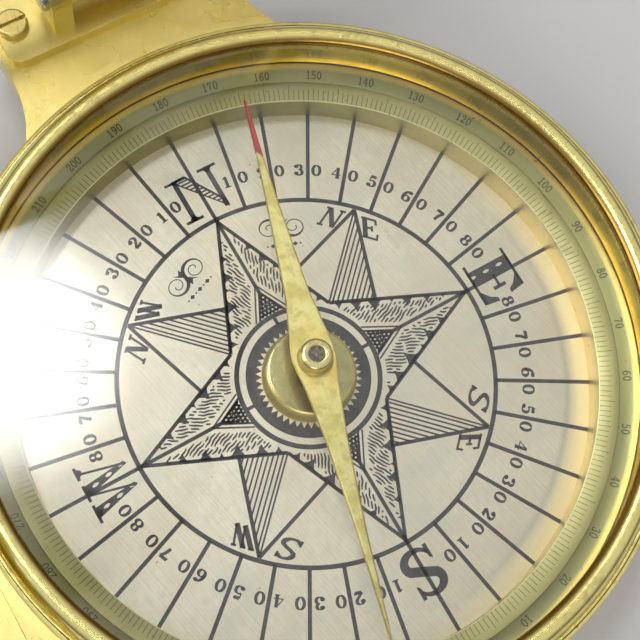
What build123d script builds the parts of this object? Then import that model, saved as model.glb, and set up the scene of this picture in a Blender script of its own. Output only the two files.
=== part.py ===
"""Pocket sundial: an equinoctial hour ring that folds over a compass.

Millimetres. x points east, y north and z up. The origin is the middle of the flat base.
The hour ring stands open against its stop, and the latitude arc stands upright.
"""
from build123d import *
import os
from math import cos, radians, sin, tan

# Case: a turned brass bowl with a hinge lug on its north side and one on its west side
case_radius = 39.6
bore_radius = 38.5
rim_height = 13.8
floor_bottom = 1.3
floor_top = 2.7
foot_radius = 40.6
foot_recess_radius = 36.6
bead_radius = 41.2
bead_top = 2.8
cove_top = 3.6
cove_radius = 1.0
lug_half_width = 14.2
lug_thickness = 4.0
lug_fillet = 15.0
lug_side_start = 44.6
lug_corner = 2.0
lug_margin = 0.6
floor_drill = 4.0
base_plate_gap = 0.1

# Compass: silvered dial, raised degree ring, hub and pivot
dial_thickness = 1.3
dial_face = floor_top + dial_thickness
dial_radius = 38.3
dial_screw_circle = 35.5
dial_screw_start = floor_bottom + 0.05
dial_screw_length = dial_face + 2.0 - floor_bottom
dial_screw_head_height = 0.5
dial_screw_recess = 0.6
dial_screw_hole_depth = 2.2
base_screw_circle = 30.0
base_screw_length = 2.5
base_screw_hole_depth = 1.2
scale_inner_radius = 33.2
scale_step_radius = 35.6
scale_outer_radius = 38.0
scale_inner_top = dial_face + 3.9
scale_step_top = dial_face + 4.2
scale_outer_top = dial_face + 4.8
scale_chamfer = 0.12
scale_line = 0.06
hub_radius = 5.5
hub_height = 2.65
hub_top = dial_face + hub_height
hub_rounding = 0.45
stud_radius = 1.6
stud_length = 1.2
pivot_radius = 0.5
pivot_tip = dial_face + 8.45
pivot_foot_gap = 0.1
pivot_taper = 1.6
pivot_point_radius = 0.05

# Needle, turned this far east of north
needle_azimuth = 15.5
needle_bottom = dial_face + 6.9
needle_thickness = 0.6
needle_tip = 32.6
cap_radius = 1.84
cap_flange_radius = 2.02
cap_flange_height = 0.35
cap_flange_slope = 0.15
cap_rounding = 0.45
cap_top = dial_face + 9.5
cap_bore_radius = 1.05
cap_eye_radius = 0.9
cap_seat_depth = 0.4
jewel_bottom = dial_face + 7.8
jewel_mouth_radius = 0.6
jewel_seat_gap = 0.06
cap_spigot_radius = 1.3
cap_spigot_drop = 0.3

# Glass and bezel
glass_radius = 37.75
glass_bottom = 14.0
glass_top = 15.2
glass_chamfer = 0.15
bezel_bore_radius = 37.85
bezel_spigot_bottom = scale_outer_top + 0.15
bezel_groove_radius = 38.15
spring_ring_inner_radius = 37.35
spring_ring_thickness = 0.8
spring_ring_gap = 0.1
spring_ring_split = (1.5, 4.0)
flange_radius = 40.2
flange_top = 14.4
flange_edge = 0.15
line_setback = 0.5
line_half_width = 0.05
line_depth = 0.08
bead_foot_radius = 39.3
crest_radius = 38.1
crest_height = 16.2
shoulder_radius = 38.85
shoulder_height = 15.65
slope_radius = 37.35
slope_height = 16.08
lip_radius = 36.7
lip_top = 15.7

# Fasteners
upright = (Align.CENTER, Align.CENTER, Align.MIN)
hanging = (Align.CENTER, Align.CENTER, Align.MAX)
screw_radius = 0.9
screw_head_radius = 1.8
screw_head_height = 1.0
screw_head_gap = 0.2
screw_fillet = 0.3
pin_head_thickness = 0.7
pin_head_overhang = 0.6
pin_head_rounding = 0.4
slot_width = 0.5
slot_depth = 0.5
slot_length = 4.0
clearance = 0.02
running_clearance = 0.05

# Hinge brackets: a foot plate with two ears and a stop bar between them
bracket_foot = 1.2
bracket_half_width = 13.4
bracket_inboard = 4.2
bracket_outboard = 4.6
bracket_corner = 1.5
bracket_screw_offset = 11.3
bracket_screw_setback = 0.4
bracket_screw_hole_depth = 4.5
bracket_screw_length = 4.2
ear_radius = 2.6
ear_thickness = 2.4
ear_root = 0.4
stop_bar_low = 1.6

# Hour ring, folding about an east-west axis at the north lug
ring_outer_radius = 41.5
ring_inner_radius = 33.5
ring_thickness = 2.0
ring_hinge_y = 49.5
ring_hinge_z = 19.4
ring_lean = 10.0
ring_pin_radius = 1.2
ring_knuckle_radius = 2.2
ring_gap_half = 5.0
ring_chamfer = 0.2
ring_bar_high = 3.8
ring_bar_depth = 2.2
knuckle_play = 0.3
knuckle_overlap = 1.0

# Index pointer riveted to the hour ring, its length along the ring's -x
pointer_width = 3.0
pointer_thickness = 0.8
pointer_tip = -44.4
pointer_shoulder = -41.6
pointer_heel = -35.8
pointer_tip_half = 0.15
rivet_points = [(-40.2, 0), (-37.2, 0)]
rivet_radius = 0.6
rivet_head_radius = 0.95
rivet_head_height = 0.4

# Gnomon bar across the ring, with the rod that casts the shadow
bar_radius = 0.9
bar_boss_radius = 1.6
bar_pivot_radius = 0.5
bar_pivot_length = 1.8
bar_end_gap = 0.3
bar_shoulder_gap = 0.1
bar_boss_half = 1.2
bar_boss_curve = 1.2
bar_neck = 2.2
rod_radius = 0.5
rod_length = 25.0
rod_stub = 0.3
rod_stub_taper = 0.1
rod_point_length = 1.2
rod_point_radius = 0.12

# Latitude arc, folding about a north-south axis at the west lug
arc_thickness = 1.4
arc_band = 6.0
arc_radius = 49.5
arc_span = 75.0
arc_hinge_x = -45.0
arc_hinge_z = 16.7
arc_offset = 0.6
arc_barrel_radius = 1.5
arc_pin_radius = 0.8
arc_gap_half = 6.0
arc_bar_high = 3.6
arc_bar_depth = 2.0

north_lug_reach = ring_hinge_y + bracket_outboard + lug_margin
west_lug_reach = -arc_hinge_x + bracket_outboard + lug_margin

# Plane of the opened hour ring: x runs east, y towards the hinge, and z out of the hour face
lean = radians(ring_lean)
ring_plane = Plane(
    origin=(0, ring_hinge_y * (1 + sin(lean)), ring_hinge_z + ring_hinge_y * cos(lean)),
    x_dir=(1, 0, 0),
    z_dir=(0, cos(lean), -sin(lean)),
)

os.makedirs("parts", exist_ok=True)


def save(part, label):
    """Name a finished piece and write it."""
    part.label = label
    export_step(part, f"parts/{label}.step")


def ring_points(radius, azimuths):
    """Points at these compass azimuths, clockwise from north."""
    return [(radius * sin(radians(a)), radius * cos(radians(a))) for a in azimuths]


def lug_outline(reach):
    """North lug: straight sides, rounded outer corners and concave flanks that run into the case."""
    flank = lug_half_width + lug_fillet
    with BuildSketch(Plane.XY.offset(rim_height - lug_thickness)) as outline:
        with BuildLine():
            arc = CenterArc((-flank, lug_side_start), lug_fillet, 0, -45)
            corner_start = (-lug_half_width, reach - lug_corner)
            Line((-lug_half_width, lug_side_start), corner_start)
            RadiusArc(corner_start, (-lug_half_width + lug_corner, reach), lug_corner)
            Line((-lug_half_width + lug_corner, reach), (0, reach))
            Line((0, reach), (0, arc.position_at(1).Y))
            Line((0, arc.position_at(1).Y), arc.position_at(1))
        make_face()
        mirror(about=Plane.YZ)
    return outline.sketch


# --- Case -------------------------------------------------------------------------------------

dial_screw_points = ring_points(dial_screw_circle, (30, 150, 270))
base_screw_points = ring_points(base_screw_circle, (90, 210, 330))

north_lug = extrude(lug_outline(north_lug_reach), lug_thickness)
west_lug = extrude(lug_outline(west_lug_reach), lug_thickness).rotate(Axis.Z, 90)

with BuildPart() as case_body:
    with BuildSketch(Plane.XZ):
        with BuildLine():
            Polyline(
                (0, floor_bottom),
                (foot_recess_radius, floor_bottom),
                (foot_recess_radius, 0),
                (foot_radius, 0),
            )
            ThreePointArc((foot_radius, 0), (bead_radius, bead_top / 2), (foot_radius, bead_top))
            RadiusArc((foot_radius, bead_top), (case_radius, cove_top), cove_radius)
            Polyline(
                (case_radius, cove_top),
                (case_radius, rim_height),
                (0, rim_height),
                (0, floor_bottom),
            )
        make_face()
    revolve(axis=Axis.Z)
    add(north_lug)
    add(west_lug)
    with BuildSketch(Plane.XY.offset(floor_top)):
        Circle(bore_radius)
    extrude(amount=rim_height, mode=Mode.SUBTRACT)
    with Locations((0, 0, floor_top)):
        Cylinder(stud_radius + clearance, floor_drill, mode=Mode.SUBTRACT)
    with Locations(*[(x, y, floor_top) for x, y in dial_screw_points]):
        Cylinder(screw_radius, floor_drill, mode=Mode.SUBTRACT)
    with Locations(*[(x, y, floor_bottom) for x, y in dial_screw_points]):
        Cylinder(screw_head_radius + screw_head_gap, 2 * dial_screw_recess, mode=Mode.SUBTRACT)
    with Locations(*[(x, y, floor_bottom) for x, y in base_screw_points]):
        Cylinder(screw_radius, 2 * base_screw_hole_depth, mode=Mode.SUBTRACT)
    bracket_screw_y = ring_hinge_y + bracket_screw_setback
    bracket_screw_x = arc_hinge_x - bracket_screw_setback
    bracket_screw_points = [(side * bracket_screw_offset, bracket_screw_y) for side in (-1, 1)]
    bracket_screw_points += [(bracket_screw_x, side * bracket_screw_offset) for side in (-1, 1)]
    with Locations(*[(x, y, rim_height) for x, y in bracket_screw_points]):
        Cylinder(screw_radius, 2 * bracket_screw_hole_depth, mode=Mode.SUBTRACT)
save(case_body.part, "case_body")

with BuildPart() as base_plate:
    with BuildSketch():
        Circle(foot_recess_radius - base_plate_gap)
    extrude(amount=floor_bottom)
    with Locations(*[(x, y, 0) for x, y in base_screw_points]):
        with Locations(Rotation(180, 0, 0)):
            CounterSinkHole(screw_radius, screw_head_radius, floor_bottom * 2)
save(base_plate.part, "base_plate")

with BuildPart() as base_screws:
    with Locations(*[(x, y, 0) for x, y in base_screw_points]):
        Cone(screw_head_radius - clearance, screw_radius - clearance, screw_radius, align=upright)
        Cylinder(screw_radius - clearance, base_screw_length, align=upright)
        Box(slot_length, slot_width, 2 * slot_depth, mode=Mode.SUBTRACT)
save(base_screws.part, "base_screws")

# --- Dial, degree ring and pivot --------------------------------------------------------------

with BuildPart() as dial_plate:
    with BuildSketch(Plane.XY.offset(floor_top)):
        Circle(dial_radius)
        Circle(stud_radius + clearance, mode=Mode.SUBTRACT)
        with Locations(*dial_screw_points):
            Circle(screw_radius, mode=Mode.SUBTRACT)
    extrude(amount=dial_thickness)
save(dial_plate.part, "dial_plate")

with BuildPart() as degree_ring:
    with BuildSketch(Plane.XZ):
        with BuildLine():
            Polyline(
                (scale_inner_radius, dial_face),
                (scale_inner_radius, scale_inner_top - scale_chamfer),
                (scale_inner_radius + scale_chamfer, scale_inner_top),
                (scale_step_radius - scale_line, scale_step_top),
                (scale_step_radius, scale_step_top - scale_line),
                (scale_step_radius + scale_line, scale_step_top),
                (scale_outer_radius, scale_outer_top),
                (scale_outer_radius, dial_face),
                close=True,
            )
        make_face()
    revolve(axis=Axis.Z)
    with Locations(*[(x, y, dial_face) for x, y in dial_screw_points]):
        Cylinder(screw_radius, 2 * dial_screw_hole_depth, mode=Mode.SUBTRACT)
save(degree_ring.part, "degree_ring")

with BuildPart() as dial_screws:
    with Locations(*[(x, y, dial_screw_start) for x, y in dial_screw_points]):
        Cylinder(screw_head_radius, dial_screw_head_height, align=upright)
        Cylinder(screw_radius - clearance, dial_screw_length, align=upright)
        Box(slot_length, slot_width, slot_depth, mode=Mode.SUBTRACT)
save(dial_screws.part, "dial_screws")

with BuildPart() as pivot_hub:
    with BuildSketch(Plane.XZ):
        with BuildLine():
            Polyline(
                (0, floor_top - stud_length),
                (stud_radius, floor_top - stud_length),
                (stud_radius, dial_face),
                (hub_radius, dial_face),
                (hub_radius, hub_top - hub_rounding),
            )
            RadiusArc(
                (hub_radius, hub_top - hub_rounding),
                (hub_radius - hub_rounding, hub_top),
                -hub_rounding,
            )
            Polyline((hub_radius - hub_rounding, hub_top), (0, hub_top), (0, floor_top - stud_length))
        make_face()
    revolve(axis=Axis.Z)
    with Locations((0, 0, hub_top)):
        Cylinder(pivot_radius + clearance, 2 * hub_height, mode=Mode.SUBTRACT)
save(pivot_hub.part, "pivot_hub")

with BuildPart() as pivot_pin:
    with BuildSketch(Plane.XZ):
        with BuildLine():
            Polyline(
                (0, dial_face + pivot_foot_gap),
                (pivot_radius, dial_face + pivot_foot_gap),
                (pivot_radius, pivot_tip - pivot_taper),
                (pivot_point_radius, pivot_tip),
                (0, pivot_tip),
                close=True,
            )
        make_face()
    revolve(axis=Axis.Z)
save(pivot_pin.part, "pivot_pin")

# --- Needle -----------------------------------------------------------------------------------

needle_plane = Plane.XY.rotated((0, 0, -needle_azimuth)).offset(needle_bottom)
blade_stations = [32.3, 31.0, 25.4, 19.5, 7.8, 1.3, 0.2, -3.3, -9.5, -19.8, -32.3]
blade_half_widths = [0.08, 0.19, 0.33, 0.66, 1.4, 2.45, 2.5, 1.9, 1.2, 0.54, 0.1]

with BuildPart() as needle_blade:
    with BuildSketch(needle_plane):
        with BuildLine():
            Polyline(
                (0, needle_tip),
                *zip(blade_half_widths, blade_stations),
                (0, -needle_tip),
            )
            Line((0, -needle_tip), (0, needle_tip))
        make_face()
        mirror(about=Plane.YZ)
        Circle(cap_spigot_radius, mode=Mode.SUBTRACT)
    extrude(amount=needle_thickness)
save(needle_blade.part, "needle_blade")

needle_top = needle_bottom + needle_thickness
flange_height = needle_top + cap_flange_height
rounding_start = (cap_radius, cap_top - cap_rounding)
rounding_end = (cap_radius - cap_rounding, cap_top)
with BuildPart() as needle_cap:
    with BuildSketch(Plane.XZ):
        with BuildLine():
            Polyline(
                (cap_bore_radius, needle_bottom - cap_spigot_drop),
                (cap_spigot_radius - clearance, needle_bottom - cap_spigot_drop),
                (cap_spigot_radius - clearance, needle_top),
                (cap_flange_radius, needle_top),
                (cap_flange_radius, flange_height),
                (cap_radius, flange_height + cap_flange_slope),
                rounding_start,
            )
            RadiusArc(rounding_start, rounding_end, -cap_rounding)
            Polyline(
                rounding_end,
                (cap_eye_radius, cap_top),
                (cap_eye_radius, cap_top - cap_seat_depth),
                (cap_bore_radius, cap_top - cap_seat_depth),
                (cap_bore_radius, needle_bottom - cap_spigot_drop),
            )
        make_face()
    revolve(axis=Axis.Z)
save(needle_cap.part, "needle_cap")

jewel_top = cap_top - cap_seat_depth - clearance
with BuildPart() as cap_jewel:
    with BuildSketch(Plane.XZ):
        with BuildLine():
            Polyline(
                (jewel_mouth_radius, jewel_bottom),
                (cap_bore_radius - clearance, jewel_bottom),
                (cap_bore_radius - clearance, jewel_top),
                (0, jewel_top),
                (0, pivot_tip + jewel_seat_gap),
                close=True,
            )
        make_face()
    revolve(axis=Axis.Z)
save(cap_jewel.part, "cap_jewel")

# --- Glass and bezel --------------------------------------------------------------------------

with BuildPart() as glass:
    with BuildSketch(Plane.XY.offset(glass_bottom)):
        Circle(glass_radius)
    extrude(amount=glass_top - glass_bottom)
    chamfer(glass.edges().filter_by(GeomType.CIRCLE), glass_chamfer)
save(glass.part, "glass")

spring_top = glass_bottom - clearance
spring_bottom = glass_bottom - spring_ring_thickness
with BuildPart() as glass_spring_ring:
    with BuildSketch(Plane.XY.offset(spring_bottom)):
        Circle(bezel_groove_radius - spring_ring_gap)
        Circle(spring_ring_inner_radius, mode=Mode.SUBTRACT)
        with Locations((0, -bezel_bore_radius)):
            Rectangle(*spring_ring_split, mode=Mode.SUBTRACT)
    extrude(amount=spring_top - spring_bottom)
save(glass_spring_ring.part, "glass_spring_ring")

line_radius = flange_radius - line_setback
bead_foot = (bead_foot_radius, flange_top - flange_edge)
bead_crest = (crest_radius, crest_height)
with BuildPart() as bezel:
    with BuildSketch(Plane.XZ):
        with BuildLine():
            Polyline(
                (bezel_bore_radius, bezel_spigot_bottom),
                (bore_radius - running_clearance, bezel_spigot_bottom),
                (bore_radius - running_clearance, rim_height),
                (flange_radius - flange_edge, rim_height),
                (flange_radius, rim_height + flange_edge),
                (flange_radius, flange_top - flange_edge),
                (flange_radius - flange_edge, flange_top),
                (line_radius + line_half_width, flange_top),
                (line_radius, flange_top - line_depth),
                (line_radius - line_half_width, flange_top),
                (bead_foot_radius + flange_edge, flange_top),
                bead_foot,
            )
            ThreePointArc(bead_foot, (shoulder_radius, shoulder_height), bead_crest)
            ThreePointArc(bead_crest, (slope_radius, slope_height), (lip_radius, lip_top))
            Polyline(
                (lip_radius, lip_top),
                (lip_radius, glass_top),
                (bezel_bore_radius, glass_top),
                (bezel_bore_radius, glass_bottom),
                (bezel_groove_radius, glass_bottom),
                (bezel_groove_radius, spring_bottom - clearance),
                (bezel_bore_radius, spring_bottom - clearance),
                (bezel_bore_radius, bezel_spigot_bottom),
            )
        make_face()
    revolve(axis=Axis.Z)
save(bezel.part, "bezel")

# --- Hinge brackets ---------------------------------------------------------------------------


def hinge_bracket(reach, height, gap_half, pin_radius, bar_box):
    """Bracket for the north lug, its pin axis this far from the middle and this high.

    bar_box is the stop bar's nearest and furthest reach and its lowest and highest level.
    """
    foot_top = rim_height + bracket_foot
    screw_y = reach + bracket_screw_setback
    bar_near, bar_far, bar_low, bar_high = bar_box
    bar_size = (bar_far - bar_near, bar_high - bar_low)
    bar_centre = ((bar_near + bar_far) / 2, (bar_low + bar_high) / 2)
    with BuildPart() as bracket:
        with BuildSketch(Plane.XY.offset(rim_height)):
            with Locations((0, reach + (bracket_outboard - bracket_inboard) / 2)):
                RectangleRounded(2 * bracket_half_width, bracket_inboard + bracket_outboard, bracket_corner)
            with Locations((bracket_screw_offset, screw_y), (-bracket_screw_offset, screw_y)):
                Circle(screw_radius, mode=Mode.SUBTRACT)
        extrude(amount=bracket_foot)
        for inner_face in (gap_half, -gap_half - ear_thickness):
            with BuildSketch(Plane.YZ.offset(inner_face)):
                with Locations((reach, height)):
                    Circle(ear_radius)
                with Locations(((reach - ear_radius + bar_far) / 2, (foot_top + height - ear_root) / 2)):
                    Rectangle(bar_far - reach + ear_radius, height - foot_top + ear_root)
                with Locations(bar_centre):
                    Rectangle(*bar_size)
                with Locations((reach, height)):
                    Circle(pin_radius, mode=Mode.SUBTRACT)
            extrude(amount=ear_thickness)
        with BuildSketch(Plane.YZ.offset(-gap_half)):
            with Locations(bar_centre):
                Rectangle(*bar_size)
        extrude(amount=2 * gap_half)
    return bracket.part


def bracket_screws(reach):
    """Two slotted cheese-head screws through a bracket's foot into its lug."""
    with BuildPart() as screws:
        points = [(side * bracket_screw_offset, reach + bracket_screw_setback) for side in (-1, 1)]
        with Locations(*[(x, y, rim_height + bracket_foot) for x, y in points]):
            Cylinder(screw_head_radius, screw_head_height, align=upright)
        fillet(screws.edges().group_by(Axis.Z)[-1], screw_fillet)
        with Locations(*[(x, y, rim_height + bracket_foot + screw_head_height) for x, y in points]):
            Box(slot_length, slot_width, 2 * slot_depth, mode=Mode.SUBTRACT)
        with Locations(*[(x, y, rim_height + bracket_foot) for x, y in points]):
            Cylinder(screw_radius - clearance, bracket_screw_length, align=hanging)
    return screws.part


def hinge_pin(reach, height, gap_half, pin_radius):
    """Pin along x through both ears, with a low domed head at each end."""
    shank_half = gap_half + ear_thickness + clearance
    head_centre = shank_half + pin_head_thickness / 2
    with BuildPart() as pin:
        with Locations((0, reach, height)):
            Cylinder(pin_radius, 2 * shank_half, rotation=(0, 90, 0))
        with Locations((head_centre, reach, height), (-head_centre, reach, height)):
            Cylinder(pin_radius + pin_head_overhang, pin_head_thickness, rotation=(0, 90, 0))
        rims = pin.edges().filter_by(GeomType.CIRCLE).group_by(Axis.X)
        fillet(rims[0] + rims[-1], pin_head_rounding)
    return pin.part


ring_bar_near = ring_hinge_y + tan(lean) * ring_bar_high + ring_thickness / 2 / cos(lean) + clearance
ring_bar_far = ring_bar_near + ring_bar_depth
ring_bar = (ring_bar_near, ring_bar_far, ring_hinge_z + stop_bar_low, ring_hinge_z + ring_bar_high)
arc_reach = -arc_hinge_x
arc_bar_near = arc_reach + arc_offset + arc_thickness / 2 + clearance
arc_bar_far = arc_bar_near + arc_bar_depth
arc_bar = (arc_bar_near, arc_bar_far, arc_hinge_z + stop_bar_low, arc_hinge_z + arc_bar_high)

save(hinge_bracket(ring_hinge_y, ring_hinge_z, ring_gap_half, ring_pin_radius, ring_bar), "ring_bracket")
save(bracket_screws(ring_hinge_y), "ring_bracket_screws")
save(hinge_pin(ring_hinge_y, ring_hinge_z, ring_gap_half, ring_pin_radius), "ring_hinge_pin")

arc_bracket = hinge_bracket(arc_reach, arc_hinge_z, arc_gap_half, arc_pin_radius, arc_bar)
save(arc_bracket.rotate(Axis.Z, 90), "arc_bracket")
save(bracket_screws(arc_reach).rotate(Axis.Z, 90), "arc_bracket_screws")
save(hinge_pin(arc_reach, arc_hinge_z, arc_gap_half, arc_pin_radius).rotate(Axis.Z, 90), "arc_hinge_pin")

# --- Hour ring and gnomon ---------------------------------------------------------------------

half_ring = ring_thickness / 2

with BuildPart(ring_plane) as hour_ring:
    with BuildSketch(ring_plane.offset(-half_ring)):
        Circle(ring_outer_radius)
        with Locations((0, (ring_hinge_y + ring_outer_radius) / 2 - knuckle_overlap)):
            Rectangle(
                2 * ring_gap_half - knuckle_play,
                ring_hinge_y - ring_outer_radius + 2 * knuckle_overlap,
            )
        Circle(ring_inner_radius, mode=Mode.SUBTRACT)
    extrude(amount=ring_thickness)
    rims = hour_ring.edges().filter_by(GeomType.CIRCLE)
    chamfer(rims.filter_by(lambda rim: rim.radius > ring_inner_radius - clearance), ring_chamfer)
    with Locations((0, ring_hinge_y, 0)):
        with Locations(Rotation(0, 90, 0)):
            Cylinder(ring_knuckle_radius, 2 * ring_gap_half - knuckle_play)
            Cylinder(ring_pin_radius + running_clearance, 2 * ring_gap_half, mode=Mode.SUBTRACT)
    with Locations(Rotation(0, 90, 0)):
        hole_end = ring_inner_radius + bar_pivot_length + bar_end_gap
        Cylinder(bar_pivot_radius + running_clearance, 2 * hole_end, mode=Mode.SUBTRACT)
    with Locations(*rivet_points):
        Cylinder(rivet_radius, 2 * ring_thickness, mode=Mode.SUBTRACT)
save(hour_ring.part, "hour_ring")

with BuildPart(ring_plane) as index_pointer:
    with BuildSketch(ring_plane.offset(half_ring)):
        with BuildLine():
            half = pointer_width / 2
            Polyline(
                (pointer_heel, half),
                (pointer_shoulder, half),
                (pointer_tip, pointer_tip_half),
                (pointer_tip, -pointer_tip_half),
                (pointer_shoulder, -half),
                (pointer_heel, -half),
            )
            RadiusArc((pointer_heel, -half), (pointer_heel, half), -half)
        make_face()
        with Locations(*rivet_points):
            Circle(rivet_radius, mode=Mode.SUBTRACT)
    extrude(amount=pointer_thickness)
save(index_pointer.part, "index_pointer")

with BuildPart(ring_plane) as pointer_rivets:
    with Locations(*[(x, y, -half_ring) for x, y in rivet_points]):
        Cylinder(rivet_radius - clearance, ring_thickness + pointer_thickness, align=upright)
    with Locations(*[(x, y, half_ring + pointer_thickness) for x, y in rivet_points]):
        Cone(rivet_head_radius, rivet_radius, rivet_head_height, align=upright)
save(pointer_rivets.part, "pointer_rivets")

with BuildPart(ring_plane) as gnomon_bar:
    with BuildSketch(ring_plane):
        with BuildLine():
            Polyline(
                (0, 0),
                (ring_inner_radius + bar_pivot_length, 0),
                (ring_inner_radius + bar_pivot_length, bar_pivot_radius),
                (ring_inner_radius - bar_shoulder_gap, bar_pivot_radius),
                (ring_inner_radius - bar_shoulder_gap, bar_radius),
                (bar_neck, bar_radius),
            )
            RadiusArc((bar_neck, bar_radius), (bar_boss_half, bar_boss_radius), bar_boss_curve)
            Polyline((bar_boss_half, bar_boss_radius), (0, bar_boss_radius), (0, 0))
        make_face()
        mirror(about=Plane.YZ)
    revolve(axis=Axis(ring_plane.origin, ring_plane.x_dir))
    with Locations(Rotation(90, 0, 0)):
        Cylinder(rod_radius + clearance, 4 * bar_boss_radius, mode=Mode.SUBTRACT)
save(gnomon_bar.part, "gnomon_bar")

with BuildPart(ring_plane) as gnomon_rod:
    with BuildSketch(ring_plane):
        with BuildLine():
            Polyline(
                (0, -bar_boss_radius - rod_stub),
                (rod_radius - rod_stub_taper, -bar_boss_radius - rod_stub),
                (rod_radius, -bar_boss_radius),
                (rod_radius, rod_length - rod_point_length),
                (rod_point_radius, rod_length),
                (0, rod_length),
                close=True,
            )
        make_face()
    revolve(axis=Axis(ring_plane.origin, ring_plane.y_dir))
save(gnomon_rod.part, "gnomon_rod")

# --- Latitude arc -----------------------------------------------------------------------------

arc_inner_radius = arc_radius - arc_band / 2
arc_outer_radius = arc_radius + arc_band / 2
arc_face_x = arc_hinge_x - arc_offset - arc_thickness / 2
hinge_centre = (ring_hinge_y, ring_hinge_z)

with BuildPart() as latitude_arc:
    with BuildSketch(Plane.YZ.offset(arc_face_x)):
        with BuildLine():
            inner = CenterArc(hinge_centre, arc_inner_radius, 180, -arc_span)
            outer = CenterArc(hinge_centre, arc_outer_radius, 180, -arc_span)
            RadiusArc(inner.position_at(1), outer.position_at(1), -arc_band / 2)
            Polyline(
                outer.position_at(0),
                (-arc_band / 2, arc_hinge_z),
                (arc_band / 2, arc_hinge_z),
                inner.position_at(0),
            )
        make_face()
    extrude(amount=arc_thickness)
    with Locations((arc_hinge_x, 0, arc_hinge_z)):
        with Locations(Rotation(90, 0, 0)):
            Cylinder(arc_barrel_radius, 2 * arc_gap_half - knuckle_play)
            Cylinder(arc_pin_radius + running_clearance, 2 * arc_gap_half, mode=Mode.SUBTRACT)
save(latitude_arc.part, "latitude_arc")
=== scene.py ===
"""The pocket sundial's looks: engraving, finishes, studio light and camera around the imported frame.

Drawing is in millimetres, in the frame's axes: x east, y north, z up, origin under the middle of
the base. Azimuths run clockwise from north, in degrees. Meshes and materials are in metres.
"""
import math
import random

import bmesh
import bpy
from mathutils import Matrix, Vector


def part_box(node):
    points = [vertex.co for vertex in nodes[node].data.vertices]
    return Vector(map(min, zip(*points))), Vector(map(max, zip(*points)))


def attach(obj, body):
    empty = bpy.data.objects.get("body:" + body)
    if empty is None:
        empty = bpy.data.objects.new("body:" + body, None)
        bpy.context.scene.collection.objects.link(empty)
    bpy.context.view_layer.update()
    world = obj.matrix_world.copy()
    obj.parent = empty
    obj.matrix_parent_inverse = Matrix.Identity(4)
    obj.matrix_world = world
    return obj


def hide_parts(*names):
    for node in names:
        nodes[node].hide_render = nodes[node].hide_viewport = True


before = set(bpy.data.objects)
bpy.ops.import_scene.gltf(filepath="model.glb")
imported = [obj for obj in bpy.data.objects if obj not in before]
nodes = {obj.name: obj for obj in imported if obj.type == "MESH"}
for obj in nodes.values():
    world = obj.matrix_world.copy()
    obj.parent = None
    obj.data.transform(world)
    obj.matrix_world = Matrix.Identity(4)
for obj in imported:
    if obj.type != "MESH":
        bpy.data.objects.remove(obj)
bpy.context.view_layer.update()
scene = bpy.context.scene

MM = 0.001
UP = Vector((0, 0, 1))
SEGMENTS = 288
rng = random.Random(7)


def node_box(name):
    """A node's lowest and highest corners in millimetres."""
    low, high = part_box(name)
    return Vector(low) / MM, Vector(high) / MM


# --- Levels and radii read from the frame ---

dial_z = node_box("dial_plate")[1].z
rim_z = node_box("case_body")[1].z
glass_low, glass_high = (point.z for point in node_box("glass"))
scale_outer = node_box("degree_ring")[1].x
scale_top = node_box("degree_ring")[1].z
hub_top = node_box("pivot_hub")[1].z
needle_low, needle_high = (point.z for point in node_box("needle_blade"))
bezel_low, bezel_high = node_box("bezel")
flange = bezel_high.x
flange_z = rim_z + 0.6
arc_face_x = node_box("latitude_arc")[0].x

# Shapes that a box can't give
rose_radius = 22.0
scale_inner = 33.2
scale_step = 35.6
scale_inner_z = dial_z + 3.9
scale_step_z = dial_z + 4.2
hub_radius = 5.5
hub_shoulder = 5.15
hub_wall = 0.9
stud_radius = 1.6
bezel_bore = 37.85
bezel_skirt = 38.45
bead_radius = 39.3
crest_radius = 38.1
lip_radius = 36.7
lip_z = 15.36
spring_groove = 38.15
groove_floor = 13.18
bore_line = 12.4
cap_radius = 1.84
cap_collar = 2.02
needle_azimuth = 15.5
hinge = Vector((0, 49.5, 19.4))
ring_lean = math.radians(10)
ring_half = 1.0
ring_inner = 33.5
ring_outer = 41.5
arc_inner = 46.5
arc_outer = 52.5

ring_origin = hinge + Vector((0, hinge.y * math.sin(ring_lean), hinge.y * math.cos(ring_lean)))
ring_east = Vector((1, 0, 0))
ring_down = Vector((0, -math.sin(ring_lean), -math.cos(ring_lean)))
ring_normal = ring_east.cross(ring_down)


# --- Plane geometry ---


def polar(radius, azimuth):
    """A point at this radius and azimuth."""
    angle = math.radians(azimuth)
    return Vector((radius * math.sin(angle), radius * math.cos(angle)))


def spin(points, azimuth):
    """Points turned clockwise about the middle."""
    c = math.cos(math.radians(azimuth))
    s = math.sin(math.radians(azimuth))
    return [Vector((x * c + y * s, y * c - x * s)) for x, y in points]


def arc(cx, cy, rx, ry, start, end, step=15):
    """Points on an ellipse from one angle to another, anticlockwise from +x, in degrees."""
    count = max(3, math.ceil(abs(end - start) / step))
    angles = [math.radians(start + (end - start) * i / count) for i in range(count + 1)]
    return [Vector((cx + rx * math.cos(a), cy + ry * math.sin(a))) for a in angles]


def lerp(a, b, t):
    return a + (b - a) * t


def vectors(*points):
    return [Vector(p) for p in points]


def around(x, y, *offsets):
    """Points at these offsets from a place."""
    return [Vector((x + dx, y + dy)) for dx, dy in offsets]


# --- Glyphs: strokes in a box one unit high, on the baseline ---
# A stroke is (pen, points). The pen "nib" is broad on uprights and fine on level strokes, "fine"
# and "broad" keep one width, and a stroke of one point is a round dot.


def serifs(*rows):
    """Fine level strokes, each given by its left end, right end and height."""
    return [("fine", [(left, y), (right, y)]) for left, right, y in rows]


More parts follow.
